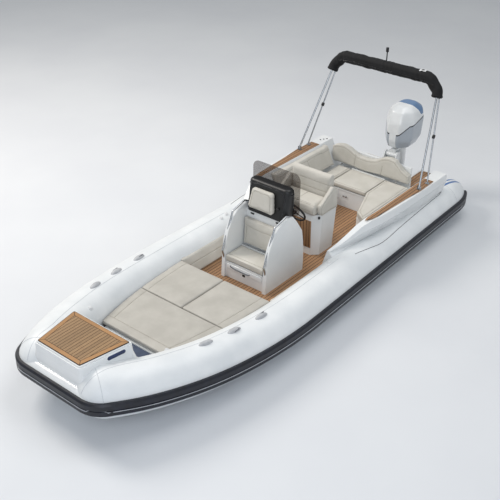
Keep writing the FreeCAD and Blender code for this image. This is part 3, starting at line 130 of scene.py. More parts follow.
# Two blue bands on each tube's stern: they drift outboard going aft, and startX and lowestZ end them
tubeBands = {"startX": -3.20, "lowestZ": 0.36, "middles": (0.973, 1.050), "halfWidth": 0.019, "slope": 0.105,
             "slopeFrom": 3.5, "colour": "4A6FA5"}


def coatedTubeFabric():
    # Calendered synthetic rubber on polyester cloth: satin, with a hint of weave and blue bands aft.
    material, tree, shader, place = newMaterial("coatedTubeFabric", {
        "Roughness": 0.42, "IOR": 1.5, "Coat Weight": 0.12, "Coat Roughness": 0.3})
    ramp, noise = mottled(tree, place, "D9DDDF", "E4E7E8", 0.35)
    split = drawn(tree, place, "SeparateXYZ", {})
    fromMiddle = mathNode(tree, "ABSOLUTE", (split, "Y"))
    ahead = mathNode(tree, "ADD", (split, "X"), tubeBands["slopeFrom"])
    across = mathNode(tree, "MULTIPLY_ADD", ahead, tubeBands["slope"], fromMiddle)
    astern = mathNode(tree, "LESS_THAN", (split, "X"), tubeBands["startX"])
    above = mathNode(tree, "GREATER_THAN", (split, "Z"), tubeBands["lowestZ"])
    there = mathNode(tree, "MULTIPLY", astern, above)
    mask = None
    for middle in tubeBands["middles"]:
        band = mathNode(tree, "COMPARE", across, middle, tubeBands["halfWidth"])
        mask = band if mask is None else mathNode(tree, "MAXIMUM", mask, band)
    mask = mathNode(tree, "MULTIPLY", mask, there)
    mix = addNode(tree, "Mix", {"data_type": "RGBA", 7: hexColour(tubeBands["colour"])},
                  {0: (mask, 0), 6: (ramp, "Color")})
    paintedBy(tree, shader, mix, 2)
    weave = drawn(tree, place, "TexVoronoi", {"Scale": 420, "Randomness": 0.25})
    joinBump(tree, shader, [(weave, "Distance", 0.0002, 0.12), (noise, "Fac", 0.002, 0.15)])
    return material


def unevenMaterial(name, settings, low, high, size, distance, strength):
    # Two close colours that change over the given size, and a bump of the given distance and strength.
    material, tree, shader, place = newMaterial(name, settings)
    noise = painted(tree, shader, place, low, high, size)
    joinBump(tree, shader, [(noise, "Fac", distance, strength)])
    return material


def oiledTeak(name, light, dark, plank, seam):
    # Quarter sawn teak, oiled: grain along the planks, which run fore and aft, each with a tone of its own.
    # A seam over 0 draws dark rubber caulk between them.
    material, tree, shader, place = newMaterial(name, {"Roughness": 0.55, "IOR": 1.45, "Coat Weight": 0.05})
    grainPlace = drawn(tree, place, "Mapping", {"Scale": (3, 60, 60)})
    grain = addNode(tree, "TexNoise", {"Scale": 6, "Detail": 6, "Roughness": 0.62}, {"Vector": (grainPlace, 0)})
    ramp = addNode(tree, "ValToRGB", {}, {"Fac": (grain, "Fac")})
    setRamp(ramp, [(0.3, hexColour(dark)), (0.7, hexColour(light))])
    split = drawn(tree, place, "SeparateXYZ", {})
    boards = mathNode(tree, "DIVIDE", (split, "Y"), plank)
    number = mathNode(tree, "FLOOR", boards)
    tone = addNode(tree, "TexWhiteNoise", {"noise_dimensions": "1D"}, {"W": (number, 0)})
    shade = addNode(tree, "MapRange", {"To Min": 0.86, "To Max": 1.1}, {"Value": (tone, "Value")})
    last = addNode(tree, "Mix", {"data_type": "RGBA", "blend_type": "MULTIPLY", 0: 1.0},
                   {6: (ramp, "Color"), 7: (shade, 0)})
    bumps = [(grain, "Fac", 0.0006, 0.3)]
    if seam:
        inBoard = mathNode(tree, "FRACT", boards)
        caulk = mathNode(tree, "LESS_THAN", inBoard, seam / plank)
        last = addNode(tree, "Mix", {"data_type": "RGBA", 7: hexColour("1B1512")}, {0: (caulk, 0), 6: (last, 2)})
        bumps.append((caulk, 0, -0.0008, 0.5))
    joinBump(tree, shader, bumps)
    paintedBy(tree, shader, last, 2)
    return material


def marineVinyl(name, low, high):
    # Foam backed marine vinyl: a fine moulded leather grain, dull, and a little soiled in soft patches.
    material, tree, shader, place = newMaterial(name, {"Roughness": 0.6, "IOR": 1.47, "Sheen Weight": 0.08})
    painted(tree, shader, place, low, high, 0.22)
    grain = drawn(tree, place, "TexVoronoi", {"Scale": 260, "Randomness": 1.0})
    soft = drawn(tree, place, "TexNoise", {"Scale": 9, "Detail": 3})
    joinBump(tree, shader, [(soft, "Fac", 0.006, 0.25), (grain, "Distance", 0.0005, 0.25)])
    return material


def mouldedRubber(name, low, high, rough):
    # Moulded rubber, nylon or plastic: an even colour with a fine grain, from glossy to dull.
    material, tree, shader, place = newMaterial(name, {"Roughness": rough, "IOR": 1.52})
    painted(tree, shader, place, low, high, 0.08)
    fine = drawn(tree, place, "TexNoise", {"Scale": 300, "Detail": 2})
    joinBump(tree, shader, [(fine, "Fac", 0.0003, 0.2)])
    return material


def polishedStainless():
    # Electropolished stainless tube: bright, with soft polishing marks.
    material, tree, shader, place = newMaterial("polishedStainless", {
        "Metallic": 1.0, "Base Color": hexColour("B7BABD")})
    marks = drawn(tree, place, "TexNoise", {"Scale": 90, "Detail": 4})
    rough = addNode(tree, "MapRange", {"To Min": 0.12, "To Max": 0.26}, {"Value": (marks, "Fac")})
    tree.links.new(rough.outputs[0], shader.inputs["Roughness"])
    return material


engineGloss = {"Roughness": 0.2, "IOR": 1.5, "Coat Weight": 0.4, "Coat Roughness": 0.06}
engineWhite = ("DCDFE0", "E6E8E8")


def enamelledAlloy():
    # Sprayed white enamel on cast aluminium: glossy with a fine orange peel.
    material, tree, shader, place = newMaterial("whiteEngineEnamel", engineGloss)
    painted(tree, shader, place, *engineWhite, 0.2)
    peel = drawn(tree, place, "TexNoise", {"Scale": 140, "Detail": 2})
    joinBump(tree, shader, [(peel, "Fac", 0.0002, 0.12)])
    return material


def wovenCanvas():
    # Solution dyed black acrylic canvas: dull and woven; the threads are drawn at 3 mm so that they show.
    material, tree, shader, place = newMaterial("blackAcrylicCanvas", {
        "Roughness": 0.75, "Sheen Weight": 0.03, "Specular IOR Level": 0.35})
    noise = painted(tree, shader, place, "060709", "101114", 0.12)
    warp = drawn(tree, place, "TexWave", {"Scale": 105, "bands_direction": "Y", "Distortion": 1.0})
    joinBump(tree, shader, [(noise, "Fac", 0.01, 0.2), (warp, "Fac", 0.0006, 0.3)])
    return material


# Cowl: the cap lies above a leaning plane, and two lines that meet in a bend bound each side cover. The covers' grey
# is partly their own paint and partly painted shade of the sides, and a dark painted shadow lines the gap round them
cowlPaint = {"capSlope": -1.3, "capAbove": 6.478, "capLowest": 1.42, "aftSlope": 0.195, "aftBelow": 0.597,
             "frontSlope": 0.95, "frontBelow": -2.111, "sideOut": 0.06, "grooveShadowHalf": 0.010, "cap": "56789F",
             "side": "A9B0B8", "grooveShadow": "1E2126"}


def twoToneEngineEnamel():
    # White engine enamel with a blue cap sprayed on top, grey side covers whose grey is partly painted shade, and a
    # dark painted shadow in the gap round them.
    material, tree, shader, place = newMaterial("twoToneEngineEnamel", engineGloss)
    ramp, noise = mottled(tree, place, *engineWhite, 0.2)
    split = drawn(tree, place, "SeparateXYZ", {})

    def leaning(slope):
        return mathNode(tree, "MULTIPLY_ADD", (split, "X"), slope, (split, "Z"))

    capPart = mathNode(tree, "GREATER_THAN", leaning(cowlPaint["capSlope"]), cowlPaint["capAbove"])
    high = mathNode(tree, "GREATER_THAN", (split, "Z"), cowlPaint["capLowest"])
    lines = [mathNode(tree, "SUBTRACT", leaning(cowlPaint[end + "Slope"]), cowlPaint[end + "Below"])
             for end in ("aft", "front")]
    sideLine = mathNode(tree, "MAXIMUM", lines[0], lines[1])
    sidePart = mathNode(tree, "LESS_THAN", sideLine, 0.0)
    outward = mathNode(tree, "ABSOLUTE", (split, "Y"))
    off = mathNode(tree, "GREATER_THAN", outward, cowlPaint["sideOut"])
    # Painted shade: a dark line in the gap round each side cover
    gap = mathNode(tree, "COMPARE", sideLine, 0.0, cowlPaint["grooveShadowHalf"])
    last = (ramp, "Color")
    # Over the white: the blue cap, the side covers' grey that is partly painted shade, and the painted shadow in the
    # gap
    for part, limit, colour in ((sidePart, off, "side"), (gap, off, "grooveShadow"), (capPart, high, "cap")):
        mask = mathNode(tree, "MULTIPLY", part, limit)
        mix = addNode(tree, "Mix", {"data_type": "RGBA", 7: hexColour(cowlPaint[colour])}, {0: (mask, 0), 6: last})
        last = (mix, 2)
    paintedBy(tree, shader, *last)
    joinBump(tree, shader, [(noise, "Fac", 0.002, 0.1)])
    return material


surface = {
    "tube": coatedTubeFabric(),
    "bowTeak": oiledTeak("oiledMarginTeak", "B68A5C", "9C744A", 0.4, 0),
    "bowPlanks": oiledTeak("oiledPlankTeak", "A28460", "826648", 0.045, 0),
    "deckTeak": oiledTeak("oiledDeckTeak", "AC8560", "866447", 0.05, 0.008),
    "vinyl": marineVinyl("creamMarineVinyl", "BFBCB3", "CAC7BF"),
    "sunVinyl": marineVinyl("beigeMarineVinyl", "ACA9A1", "B7B4AC"),
    "stainless": polishedStainless(),
    "cowl": twoToneEngineEnamel(),
    "engine": enamelledAlloy(),
    "canvas": wovenCanvas(),
}
unevenRows = {
    # Polyester gelcoat from a polished mould: glossy, very slightly uneven
    "gelcoat": ("whiteGelcoat", {"Roughness": 0.22, "IOR": 1.53, "Coat Weight": 0.35, "Coat Roughness": 0.08},
                "DFE2E3", "E8EAEA", 0.5, 0.004, 0.08),
    # Brown tinted cast acrylic sheet: glossy, and seen through
    "smoked": ("smokedAcrylic", {"Roughness": 0.06, "IOR": 1.49, "Alpha": 0.42}, "3A2C24", "46362C", 0.3, 0.002, 0.05),
    # Sand cast aluminium: grey and grainy
    "cast": ("castAlloy", {"Metallic": 1.0, "Roughness": 0.5}, "77797C", "8C8F92", 0.05, 0.001, 0.4),
}
surface.update({key: unevenMaterial(*row) for key, row in unevenRows.items()})
mouldedRows = {
    "caulk": ("blackDeckCaulk", "17120F", "241C17", 0.7),
    "slate": ("slateGreyFoam", "39445A", "435067", 0.75),
    # Pale rubber bead in the strake's channel, also used for the painted highlight along its foot
    "paleBeadAndHighlight": ("paleBeadAndEdgeHighlight", "A9ADB4", "B9BCC2", 0.45),
    "weltFabric": ("gluedFabricTape", "B7BCC1", "C4C8CC", 0.5),
    "whitePlastic": ("whiteMouldedNylon", "D3D5D6", "DEDFE0", 0.35),
    "darkGrey": ("darkGreyRubber", "5A5D63", "6B6E74", 0.5),
    "navy": ("navyMouldedPlastic", "16274F", "22386B", 0.3),
    "blackGloss": ("glossBlackPlastic", "17181B", "232429", 0.22),
    "seamThread": ("bondedPolyesterThread", "A19D92", "ADA99E", 0.6),
    "rubber": ("extrudedRubber", "0A0D16", "141927", 0.4),
    "blackPlastic": ("mouldedBlackPlastic", "0B0C0E", "151618", 0.38),
    "grip": ("greyGripRubber", "A9ABAE", "BBBDBF", 0.5),
}
surface.update({key: mouldedRubber(*row) for key, row in mouldedRows.items()})
slotSurface = {
    "tube_fabric": "tube", "white_gelcoat": "gelcoat", "bow_teak": "bowTeak", "deck_teak": "deckTeak",
    "strake_rubber": "rubber", "cushion_vinyl": "vinyl", "stainless_steel": "stainless",
    "smoked_acrylic": "smoked", "black_plastic": "blackPlastic", "awning_canvas": "canvas",
    "engine_paint": "engine", "engine_metal": "cast", "propeller_steel": "stainless", "grip_rubber": "grip"}
for part in frame["record"]["subparts"]:
    node = nodes[part["node"]]
    node.data.materials.clear()
    node.data.materials.append(surface[slotSurface[part["material_slot"]]])
print("materials on", len(nodes), "nodes")


# Ways of making pieces: select, link, dress, lay on a surface, and the basic forms
smoothAngle = 0.7
skyZ = 3


def activate(*chosen):
    bpy.ops.object.select_all(action="DESELECT")
    for piece in chosen:
        piece.select_set(True)
    bpy.context.view_layer.objects.active = chosen[0]


def editAll():
    bpy.ops.object.mode_set(mode="EDIT")
    bpy.ops.mesh.select_all(action="SELECT")


def modified(piece, kind, settings):
    # Sets one modifier on the active piece and applies it.
    modifier = piece.modifiers.new("step", kind)
    for name, value in settings.items():
        setattr(modifier, name, value)
    bpy.ops.object.modifier_apply(modifier="step")


oneFiner = {"levels": 1, "render_levels": 1}


def linked(name, data):
    piece = bpy.data.objects.new(name, data)
    bpy.context.scene.collection.objects.link(piece)
    return piece


def dress(piece, name, finish, body="boat"):
    # Names and paints a finished piece, and attaches it to the body that it rides on.
    activate(piece)
    bpy.ops.object.transform_apply(location=True, rotation=True, scale=True)
    piece.name = name
    piece.data.name = name
    piece.data.materials.clear()
    piece.data.materials.append(surface[finish])
    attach(piece, body)
    return piece


def joined(made):
    activate(*made)
    bpy.ops.object.join()
    return bpy.context.object


def dropped(outside, x, y):
    # Where a line straight down at x and y meets a surface.
    return outside.ray_cast(Vector((x, y, skyZ)), Vector((0, 0, -1)))[0]


def cornersOf(piece):
    return [vertex.co.copy() for vertex in piece.data.vertices]


def surfaceOf(*pieces):
    # The outside of some pieces, to lay lines and fittings on.
    corners, faces = [], []
    for piece in pieces:
        first = len(corners)
        corners += cornersOf(piece)
        faces += [[first + index for index in face.vertices] for face in piece.data.polygons]
    return BVHTree.FromPolygons(corners, faces)


def laidOn(outside, corners, step=0.02, lift=0.0):
    # Points every step along a run, dropped on the nearest surface and lifted off it.
    corners = [Vector(corner) for corner in corners]
    places = []
    for start, end in zip(corners, corners[1:]):
        count = max(1, round((end - start).length / step))
        places += [start.lerp(end, number / count) for number in range(count)]
    places.append(corners[-1])
    found = [outside.find_nearest(place) for place in places]
    return [hit[0] + hit[1] * lift for hit in found]


def eased(corners, passes=3):
    # Takes the corners off a run and keeps its two ends.
    places = [Vector(corner) for corner in corners]
    for turn in range(passes):
        cut = [places[0]]
        for start, end in zip(places, places[1:]):
            cut += [start.lerp(end, 0.25), start.lerp(end, 0.75)]
        places = cut + [places[-1]]
    return places


def threads(runs, radius, sides=1):
    # Round piping or thread along each run of points, as one mesh.
    curve = bpy.data.curves.new("thread", "CURVE")
    curve.dimensions = "3D"
    curve.bevel_depth = radius
    curve.bevel_resolution = sides
    curve.use_fill_caps = True
    for run in runs:
        spline = curve.splines.new("POLY")
        spline.points.add(len(run) - 1)
        for point, place in zip(spline.points, run):
            point.co = (*place, 1)
    activate(linked("thread", curve))
    bpy.ops.object.convert(target="MESH")
    piece = bpy.context.object
    bpy.ops.object.shade_smooth()
    return piece


def finished():
    # Leaves edit mode and smooths the active piece, apart from its sharp edges.
    bpy.ops.object.mode_set(mode="OBJECT")
    bpy.ops.object.shade_smooth_by_angle(angle=smoothAngle)
    return bpy.context.object


def blockAt(place, values):
    # A block with rounded edges, turned about its own middle.
    bpy.ops.mesh.primitive_cube_add(size=1, location=place, rotation=values.get("turn", (0, 0, 0)))
    bpy.context.object.scale = values["size"]
    bpy.ops.object.transform_apply(location=False, rotation=False, scale=True)
    editAll()
    bpy.ops.mesh.bevel(offset=values["bevel"], segments=values.get("segments", 2), affect="EDGES")
    return finished()


def blocksOf(values):
    # The same block at each place of a row along y.
    return [blockAt((values["x"], y, values["z"]), values) for y in values["sides"]]


def oblong(place, size, turn, bevel):
    # A plate with round ends, of a length, thickness and height.
    length, thickness, height = size
    bpy.ops.mesh.primitive_cylinder_add(vertices=42, radius=height / 2, depth=thickness,
                                        rotation=(math.pi / 2, 0, 0))
    piece = bpy.context.object
    bpy.ops.object.transform_apply(location=False, rotation=True, scale=False)
    for vertex in piece.data.vertices:
        vertex.co.x += math.copysign((length - height) / 2, vertex.co.x)
    modified(piece, "BEVEL", {"width": bevel, "segments": 2})
    piece.location = place
    piece.rotation_euler = turn
    return finished()


def turnedKnob(place, direction, rings, sides=20):
    # A turned fitting: each ring is a radius and a height along the direction.
    bpy.ops.mesh.primitive_circle_add(vertices=sides, radius=rings[0][0], fill_type="NGON", location=place,
                                      rotation=Vector(direction).to_track_quat("Z", "Y").to_euler())
    piece = bpy.context.object
    axis = Vector(direction).normalized()
    bpy.ops.object.transform_apply(location=False, rotation=True, scale=False)
    editAll()
    bpy.ops.transform.translate(value=axis * rings[0][1])
    for (radius, height), (wider, higher) in zip(rings, rings[1:]):
        bpy.ops.mesh.extrude_region_move(TRANSFORM_OT_translate={"value": axis * (higher - height)})
        grow = wider / radius
        bpy.ops.transform.resize(value=(grow, grow, grow), center_override=Vector(place) + axis * higher)
    bpy.ops.mesh.select_all(action="SELECT")
    bpy.ops.mesh.normals_make_consistent(inside=False)
    return finished()


# Cushions: foam in vinyl, swollen as cloth and held in the room that each solid gives
sunEdge = [(0.684, 0.766), (0.919, 0.760), (1.155, 0.746), (1.390, 0.725), (1.626, 0.696), (1.808, 0.669),
           (1.982, 0.637), (2.156, 0.599), (2.330, 0.554)]
sunPads = {"aft": 0.684, "joint": 1.505, "front": 2.330, "gap": 0.004, "low": 0.3966, "high": 0.482,
           "border": 0.115, "frontBorder": 0.125, "seamShort": 0.02, "spare": 0.03, "seamZ": 0.49}
# What each row has unless it says its own; the cloth's swelling may move a point by the cap at most
usualPad = {"body": "boat", "face": (0, 0, 1), "voxel": 0.015, "cap": 0.012, "proud": 0.008}
sunRow = {**usualPad, "name": "sunPads", "voxel": 0.018, "drawnIn": 0.006}
clothValues = {"frames": 20, "pressure": 4, "quality": 4}
helmMiddle = 0.03
# How far the pads stop short of their rooms' faces and of their rooms' ends
shortOf = {"faces": 0.0005, "ends": 0.001}
padRows = [
    {"name": "consoleSeatPad", "node": "console_seat_cushion", "body": "console_seat", "voxel": 0.012,
     "drawnIn": 0.008, "proud": 0.010},
    {"name": "consoleBackPad", "node": "console_backrest", "face": (1, 0, 0.1), "voxel": 0.012, "drawnIn": 0.006},
    {"name": "headrestPad", "node": "headrest", "face": (1, 0, 0.2), "voxel": 0.009, "drawnIn": 0.006},
    {"name": "helmSeatPad", "node": "helm_seat_cushion", "face": (0.4, 0, 1), "voxel": 0.013, "drawnIn": 0.010},
    {"name": "helmBackPad", "node": "helm_backrest", "face": (1, 0, 0.5), "voxel": 0.013, "drawnIn": 0.008},
    {"name": "helmArmPads", "node": "helm_arms", "face": "outward", "voxel": 0.011, "drawnIn": 0.007, "proud": 0.006},
    {"name": "benchPad", "node": "bench_cushion", "body": "bench", "face": (0.4, 0, 1), "drawnIn": 0.007},
    {"name": "portWingPad", "node": "wing_cushion_port", "drawnIn": 0.007},
    {"name": "starboardWingPad", "node": "wing_cushion_starboard", "drawnIn": 0.006},
    {"name": "sternBackPad", "node": "stern_backrest", "face": (1, 0, 0.3), "drawnIn": 0.008, "proud": 0.010},
    {"name": "wingBackPad", "node": "wing_backrest", "face": (0, 1, 0.5), "drawnIn": 0.007},
    {"name": "liningPads", "node": "side_linings", "face": "inward", "drawnIn": 0.004, "cap": 0.014, "proud": 0.005},
]


def sunHalf(x):
    for (low, lowHalf), (high, highHalf) in zip(sunEdge, sunEdge[1:]):
        if x <= high:
            return lowHalf + (highHalf - lowHalf) * (x - low) / (high - low)
    return sunEdge[-1][1]


def slabFrom(outline, low, high):
    # A closed slab over an outline in plan.
    shape = bmesh.new()
    face = shape.faces.new([shape.verts.new((x, y, low)) for x, y in outline])
    rise = bmesh.ops.extrude_face_region(shape, geom=[face])
    bmesh.ops.translate(shape, vec=(0, 0, high - low),
                        verts=[item for item in rise["geom"] if isinstance(item, bmesh.types.BMVert)])
    bmesh.ops.recalc_face_normals(shape, faces=shape.faces)
    mesh = bpy.data.meshes.new("slab")
    shape.to_mesh(mesh)
    shape.free()
    return linked("slab", mesh)


def solidCopy(node):
    piece = linked(node + "Copy", nodes[node].data.copy())
    activate(piece)
    editAll()
    bpy.ops.mesh.remove_doubles(threshold=0.0001)
    bpy.ops.object.mode_set(mode="OBJECT")
    return piece


def faceOf(values, place):
    if values["face"] == "outward":
        return Vector((0, 1 if place.y > helmMiddle else -1, 0.3))
    if values["face"] == "inward":
        return Vector((0, -1 if place.y > 0 else 1, 0.3))
    return Vector(values["face"]).normalized()


def heldIn(piece, outside, room):
    # Puts back each point that stands further out of a surface than the room that it has there.
    for vertex in piece.data.vertices:
        place, normal, index, away = outside.find_nearest(vertex.co)
        out, most = (vertex.co - place).dot(normal), room(vertex.co, normal)
        if out > most:
            vertex.co -= normal * (out - most)


def keptIn(pad, outside, values):
    # No point stands out of the pad's room, except a little on the side that is sat on.
    def room(place, normal):
        return values["proud"] * max(0, normal.dot(faceOf(values, place))) - shortOf["faces"]

    heldIn(pad, outside, room)


def filledOut(pad, outside, values):
    # The swelling draws the edges in; each side's pad is stretched back to the room that it has.
    both = values["face"] in ("outward", "inward")
    middle = helmMiddle if values["face"] == "outward" else 0
    for side in ((1, -1) if both else (0,)):
        own = [vertex for vertex in pad.data.vertices if not side or (vertex.co.y - middle) * side > 0]
        room = [corner for corner in outside if not side or (corner.y - middle) * side > 0]
        for axis in range(3):
            low, high = min(v.co[axis] for v in own), max(v.co[axis] for v in own)
            lowest = min(c[axis] for c in room) + shortOf["ends"]
            highest = max(c[axis] for c in room) - shortOf["ends"]
            for vertex in own:
                vertex.co[axis] = lowest + (vertex.co[axis] - low) * (highest - lowest) / (high - low)


def remeshed(pad, values):
    activate(pad)
    modified(pad, "REMESH", {"mode": "VOXEL", "voxel_size": values["voxel"]})
    modified(pad, "DISPLACE", {"mid_level": 0, "strength": -values["drawnIn"]})
    modified(pad, "SMOOTH", {"factor": 0.5, "iterations": 3})


def addCloth(pad):
    # Gentle pressure from inside, with no weight and nothing to touch.
    cloth = pad.modifiers.new("cloth", "CLOTH")
    cloth.settings.use_pressure = True
    cloth.settings.uniform_pressure_force = clothValues["pressure"]
    cloth.settings.effector_weights.gravity = 0
    cloth.settings.quality = clothValues["quality"]
    cloth.collision_settings.use_collision = False
    cloth.collision_settings.use_self_collision = False


aftPart = (sunPads["aft"], sunPads["joint"] - sunPads["gap"])
forePart = (sunPads["joint"] + sunPads["gap"], sunPads["front"])
startPads = []
for part, side in ((aftPart, 1), (aftPart, -1), (forePart, 0)):
    aft, front = part
    reach = [aft] + [x for x, y in sunEdge if aft + sunPads["spare"] < x < front - sunPads["spare"]] + [front]
    outer = [(x, (side or 1) * sunHalf(x)) for x in reversed(reach)]
    inner = [(x, side * sunPads["gap"]) for x in part] if side else [(x, -sunHalf(x)) for x in reach]
    startPads.append((slabFrom(inner + outer, sunPads["low"], sunPads["high"]), sunRow))
startPads += [(solidCopy(row["node"]), {**usualPad, **row}) for row in padRows]
outsides = [surfaceOf(pad) for pad, values in startPads]
rooms = [cornersOf(pad) for pad, values in startPads]
for pad, values in startPads:
    remeshed(pad, values)
print("pads remeshed:", sum(len(pad.data.vertices) for pad, values in startPads), "points")
for pad, values in startPads:
    addCloth(pad)
starts = [cornersOf(pad) for pad, values in startPads]
for number in range(1, clothValues["frames"] + 1):
    bpy.context.scene.frame_set(number)
for (pad, values), before in zip(startPads, starts):
    activate(pad)
    bpy.ops.object.modifier_apply(modifier="cloth")
    for vertex, start in zip(pad.data.vertices, before):
        move = vertex.co - start
        if move.length > values["cap"]:
            vertex.co = start + move * (values["cap"] / move.length)
bpy.context.scene.frame_set(1)
print("pads swollen")
for (pad, values), outside, room in zip(startPads, outsides, rooms):
    activate(pad)
    modified(pad, "SMOOTH", {"factor": 0.5, "iterations": 2})
    modified(pad, "SUBSURF", oneFiner)
    filledOut(pad, room, values)
    keptIn(pad, outside, values)
    bpy.ops.object.shade_smooth()


# Seams: each is pressed into its pad and then stitched with a thread
def pressSeams(pad, places, width, depth):
    line = KDTree(len(places))
    for number, place in enumerate(places):
        line.insert(place, number)
    line.balance()
    moves = []
    for vertex in pad.data.vertices:
        away = line.find(vertex.co)[2]
        if away < width:
            moves.append((vertex, vertex.normal * (depth * (1 - (away / width) ** 2) ** 2)))
    for vertex, move in moves:
        vertex.co -= move


def seamed(pad, rough, finish, width=0.016, depth=0.004, radius=0.0028):
    outside = surfaceOf(pad)
    pressSeams(pad, [place for run in rough for place in laidOn(outside, run, 0.006)], width, depth)
    outside = surfaceOf(pad)
    sewn = threads([laidOn(outside, run, 0.02, radius * 0.2) for run in rough], radius)
    return dress(sewn, finish["name"] + "Seams", "seamThread", finish["body"])


# Sun pads: a border seam along each edge that ends short of the joint, and one across near the front
short, spare, seamZ = sunPads["seamShort"], sunPads["spare"], sunPads["seamZ"]
borderX = sunPads["front"] - sunPads["frontBorder"]
borderParts = [(sunPads["aft"] + short, sunPads["joint"] - short), (sunPads["joint"] + short, borderX)]
sunRough = []
for side in (1, -1):
    for aft, front in borderParts:
        line = [aft + quarter / 4 * (front - aft) for quarter in range(5)]
        sunRough.append([(x, side * (sunHalf(x) - sunPads["border"]), seamZ) for x in line])
sunRough.append([(borderX, y, seamZ) for y in (-sunHalf(borderX) + spare, 0, sunHalf(borderX) - spare)])
sunPad = joined([pad for pad, values in startPads[:3]])
seamed(sunPad, sunRough, sunRow, 0.018, 0.005, 0.003)
dress(sunPad, sunRow["name"], "sunVinyl")
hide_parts("sun_cushion_port", "sun_cushion_starboard", "sun_cushion_forward")

padSeams = {
    "consoleSeatPad": [[(0.27, -0.27, 0.585), (0.27, 0.03, 0.585), (0.27, 0.33, 0.585)],
                       [(0.32, -0.28, 0.475), (0.32, 0.34, 0.475)],
                       [(0.0, -0.255, 0.585), (0.27, -0.255, 0.585)], [(0.0, 0.315, 0.585), (0.27, 0.315, 0.585)]],
    "consoleBackPad": [[(-0.05, -0.27, 0.895), (-0.05, -0.10, 0.873), (-0.05, 0.03, 0.868), (-0.05, 0.16, 0.873),
                        (-0.05, 0.33, 0.895)],
                       [(-0.03, -0.235, 0.61), (-0.05, -0.235, 0.875)],
                       [(-0.03, 0.295, 0.61), (-0.05, 0.295, 0.875)]],
    "headrestPad": [[(-0.06, -0.195, 1.20), (-0.09, -0.165, 1.40), (-0.10, -0.13, 1.425), (-0.10, 0.09, 1.425),
                     (-0.09, 0.125, 1.40), (-0.06, 0.155, 1.20), (-0.06, 0.12, 1.185), (-0.06, -0.16, 1.185),
                     (-0.06, -0.195, 1.20)]],
    "helmSeatPad": [[(-0.83, -0.29, 1.075), (-0.83, 0.03, 1.075), (-0.83, 0.35, 1.075)],
                    [(-1.14, 0.03, 1.075), (-0.83, 0.03, 1.075)], [(-0.81, -0.29, 0.95), (-0.81, 0.35, 0.95)]],
    "helmBackPad": [[(-1.155, -0.30, 1.245), (-1.155, 0.03, 1.245), (-1.155, 0.36, 1.245)],
                    [(-1.155, -0.30, 1.125), (-1.155, 0.36, 1.125)]],
    "helmArmPads": [[(-1.26, side, 1.20), (-1.17, side, 1.215), (-0.92, side, 1.06), (-0.885, side, 1.02),
                     (-0.885, side, 0.93), (-0.92, side, 0.915), (-1.26, side, 0.915)] for side in (0.44, -0.38)],
    "benchPad": [[(-2.43, -0.41, 0.61), (-2.43, 0.185, 0.61)], [(-2.40, -0.41, 0.53), (-2.40, 0.185, 0.53)]],
    "portWingPad": [[(-2.95, 0.25, 0.61), (-2.43, 0.25, 0.61), (-1.84, 0.465, 0.61), (-1.73, 0.59, 0.61),
                     (-2.95, 0.59, 0.61)]],
    "starboardWingPad": [[(-2.95, -0.465, 0.61), (-1.86, -0.465, 0.61), (-1.86, -0.65, 0.61), (-2.95, -0.65, 0.61)]],
    "wingBackPad": [[(-2.88, -0.80, 0.87), (-1.52, -0.80, 0.87)], [(-2.30, -0.72, 0.62), (-2.30, -0.80, 0.88)]],
    "sternBackPad": [[(-2.985, 0.10, 0.62), (-2.985, 0.12, 0.80)], [(-2.985, -0.40, 0.62), (-2.985, -0.38, 0.86)]],
    "liningPads": [[(-0.54, side, 0.36), (0.66, side, 0.36)] for side in (0.70, -0.70)],
}
# The stern backrest's long seam follows its crest, a little below it
sternCrest = {"x": -3.04, "firstY": -0.80, "length": 1.37, "steps": 36, "seamX": -2.985, "below": 0.03}


def crestSeam(pad, values):
    crest, line = surfaceOf(pad), []
    for step in range(values["steps"] + 1):
        y = values["firstY"] + step * (values["length"] / values["steps"])
        line.append((values["seamX"], y, dropped(crest, values["x"], y).z - values["below"]))
    return line


for pad, values in startPads[3:]:
    rough = padSeams[values["name"]]
    if values["name"] == "sternBackPad":
        rough = [crestSeam(pad, sternCrest)] + rough
    seamed(pad, rough, values)
    dress(pad, values["name"], "vinyl", values["body"])
    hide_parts(values["node"])
print("pads dressed:", len(startPads))


# Bow locker lid: mitred teak margin boards round planks that run fore and aft, over black caulk
bowDeck = {"aftX": 2.798, "frontX": 3.417, "aftHalf": 0.455, "frontHalf": 0.342, "margin": 0.055, "pitch": 0.045,
           "caulk": 0.006, "low": 0.9055, "thickness": 0.0025}


def teakPlanks(values):
    bpy.ops.mesh.primitive_plane_add(size=1, location=(0, 0, values["low"]))
    planks = bpy.context.object
    bpy.ops.object.transform_apply(location=True, rotation=False, scale=False)
    for vertex in planks.data.vertices:
        ahead, side = vertex.co.x > 0, 1 if vertex.co.y > 0 else -1
        vertex.co.x = values["frontX"] if ahead else values["aftX"]
        vertex.co.y = side * (values["frontHalf"] if ahead else values["aftHalf"])
    for name in ("bowTeak", "bowPlanks"):
        planks.data.materials.append(surface[name])
    bpy.ops.object.mode_set(mode="EDIT")
    bpy.ops.mesh.select_mode(type="FACE")
    bpy.ops.mesh.select_all(action="SELECT")
    bpy.ops.mesh.inset(thickness=values["margin"], depth=0)
    planks.active_material_index = 1
    bpy.ops.object.material_slot_assign()
    count = int(values["aftHalf"] / values["pitch"])
    for number in range(-count, count + 1):
        bpy.ops.mesh.select_all(action="DESELECT")
        bpy.ops.object.material_slot_select()
        bpy.ops.mesh.bisect(plane_co=(0, number * values["pitch"], 0), plane_no=(0, 1, 0))
    bpy.ops.mesh.select_all(action="SELECT")
    bpy.ops.mesh.inset(thickness=values["caulk"] / 2, depth=0, use_individual=True)
    bpy.ops.mesh.select_all(action="INVERT")
    bpy.ops.mesh.delete(type="FACE")
    bpy.ops.object.mode_set(mode="OBJECT")
    modified(planks, "SOLIDIFY", {"thickness": values["thickness"], "offset": 1})
    return planks


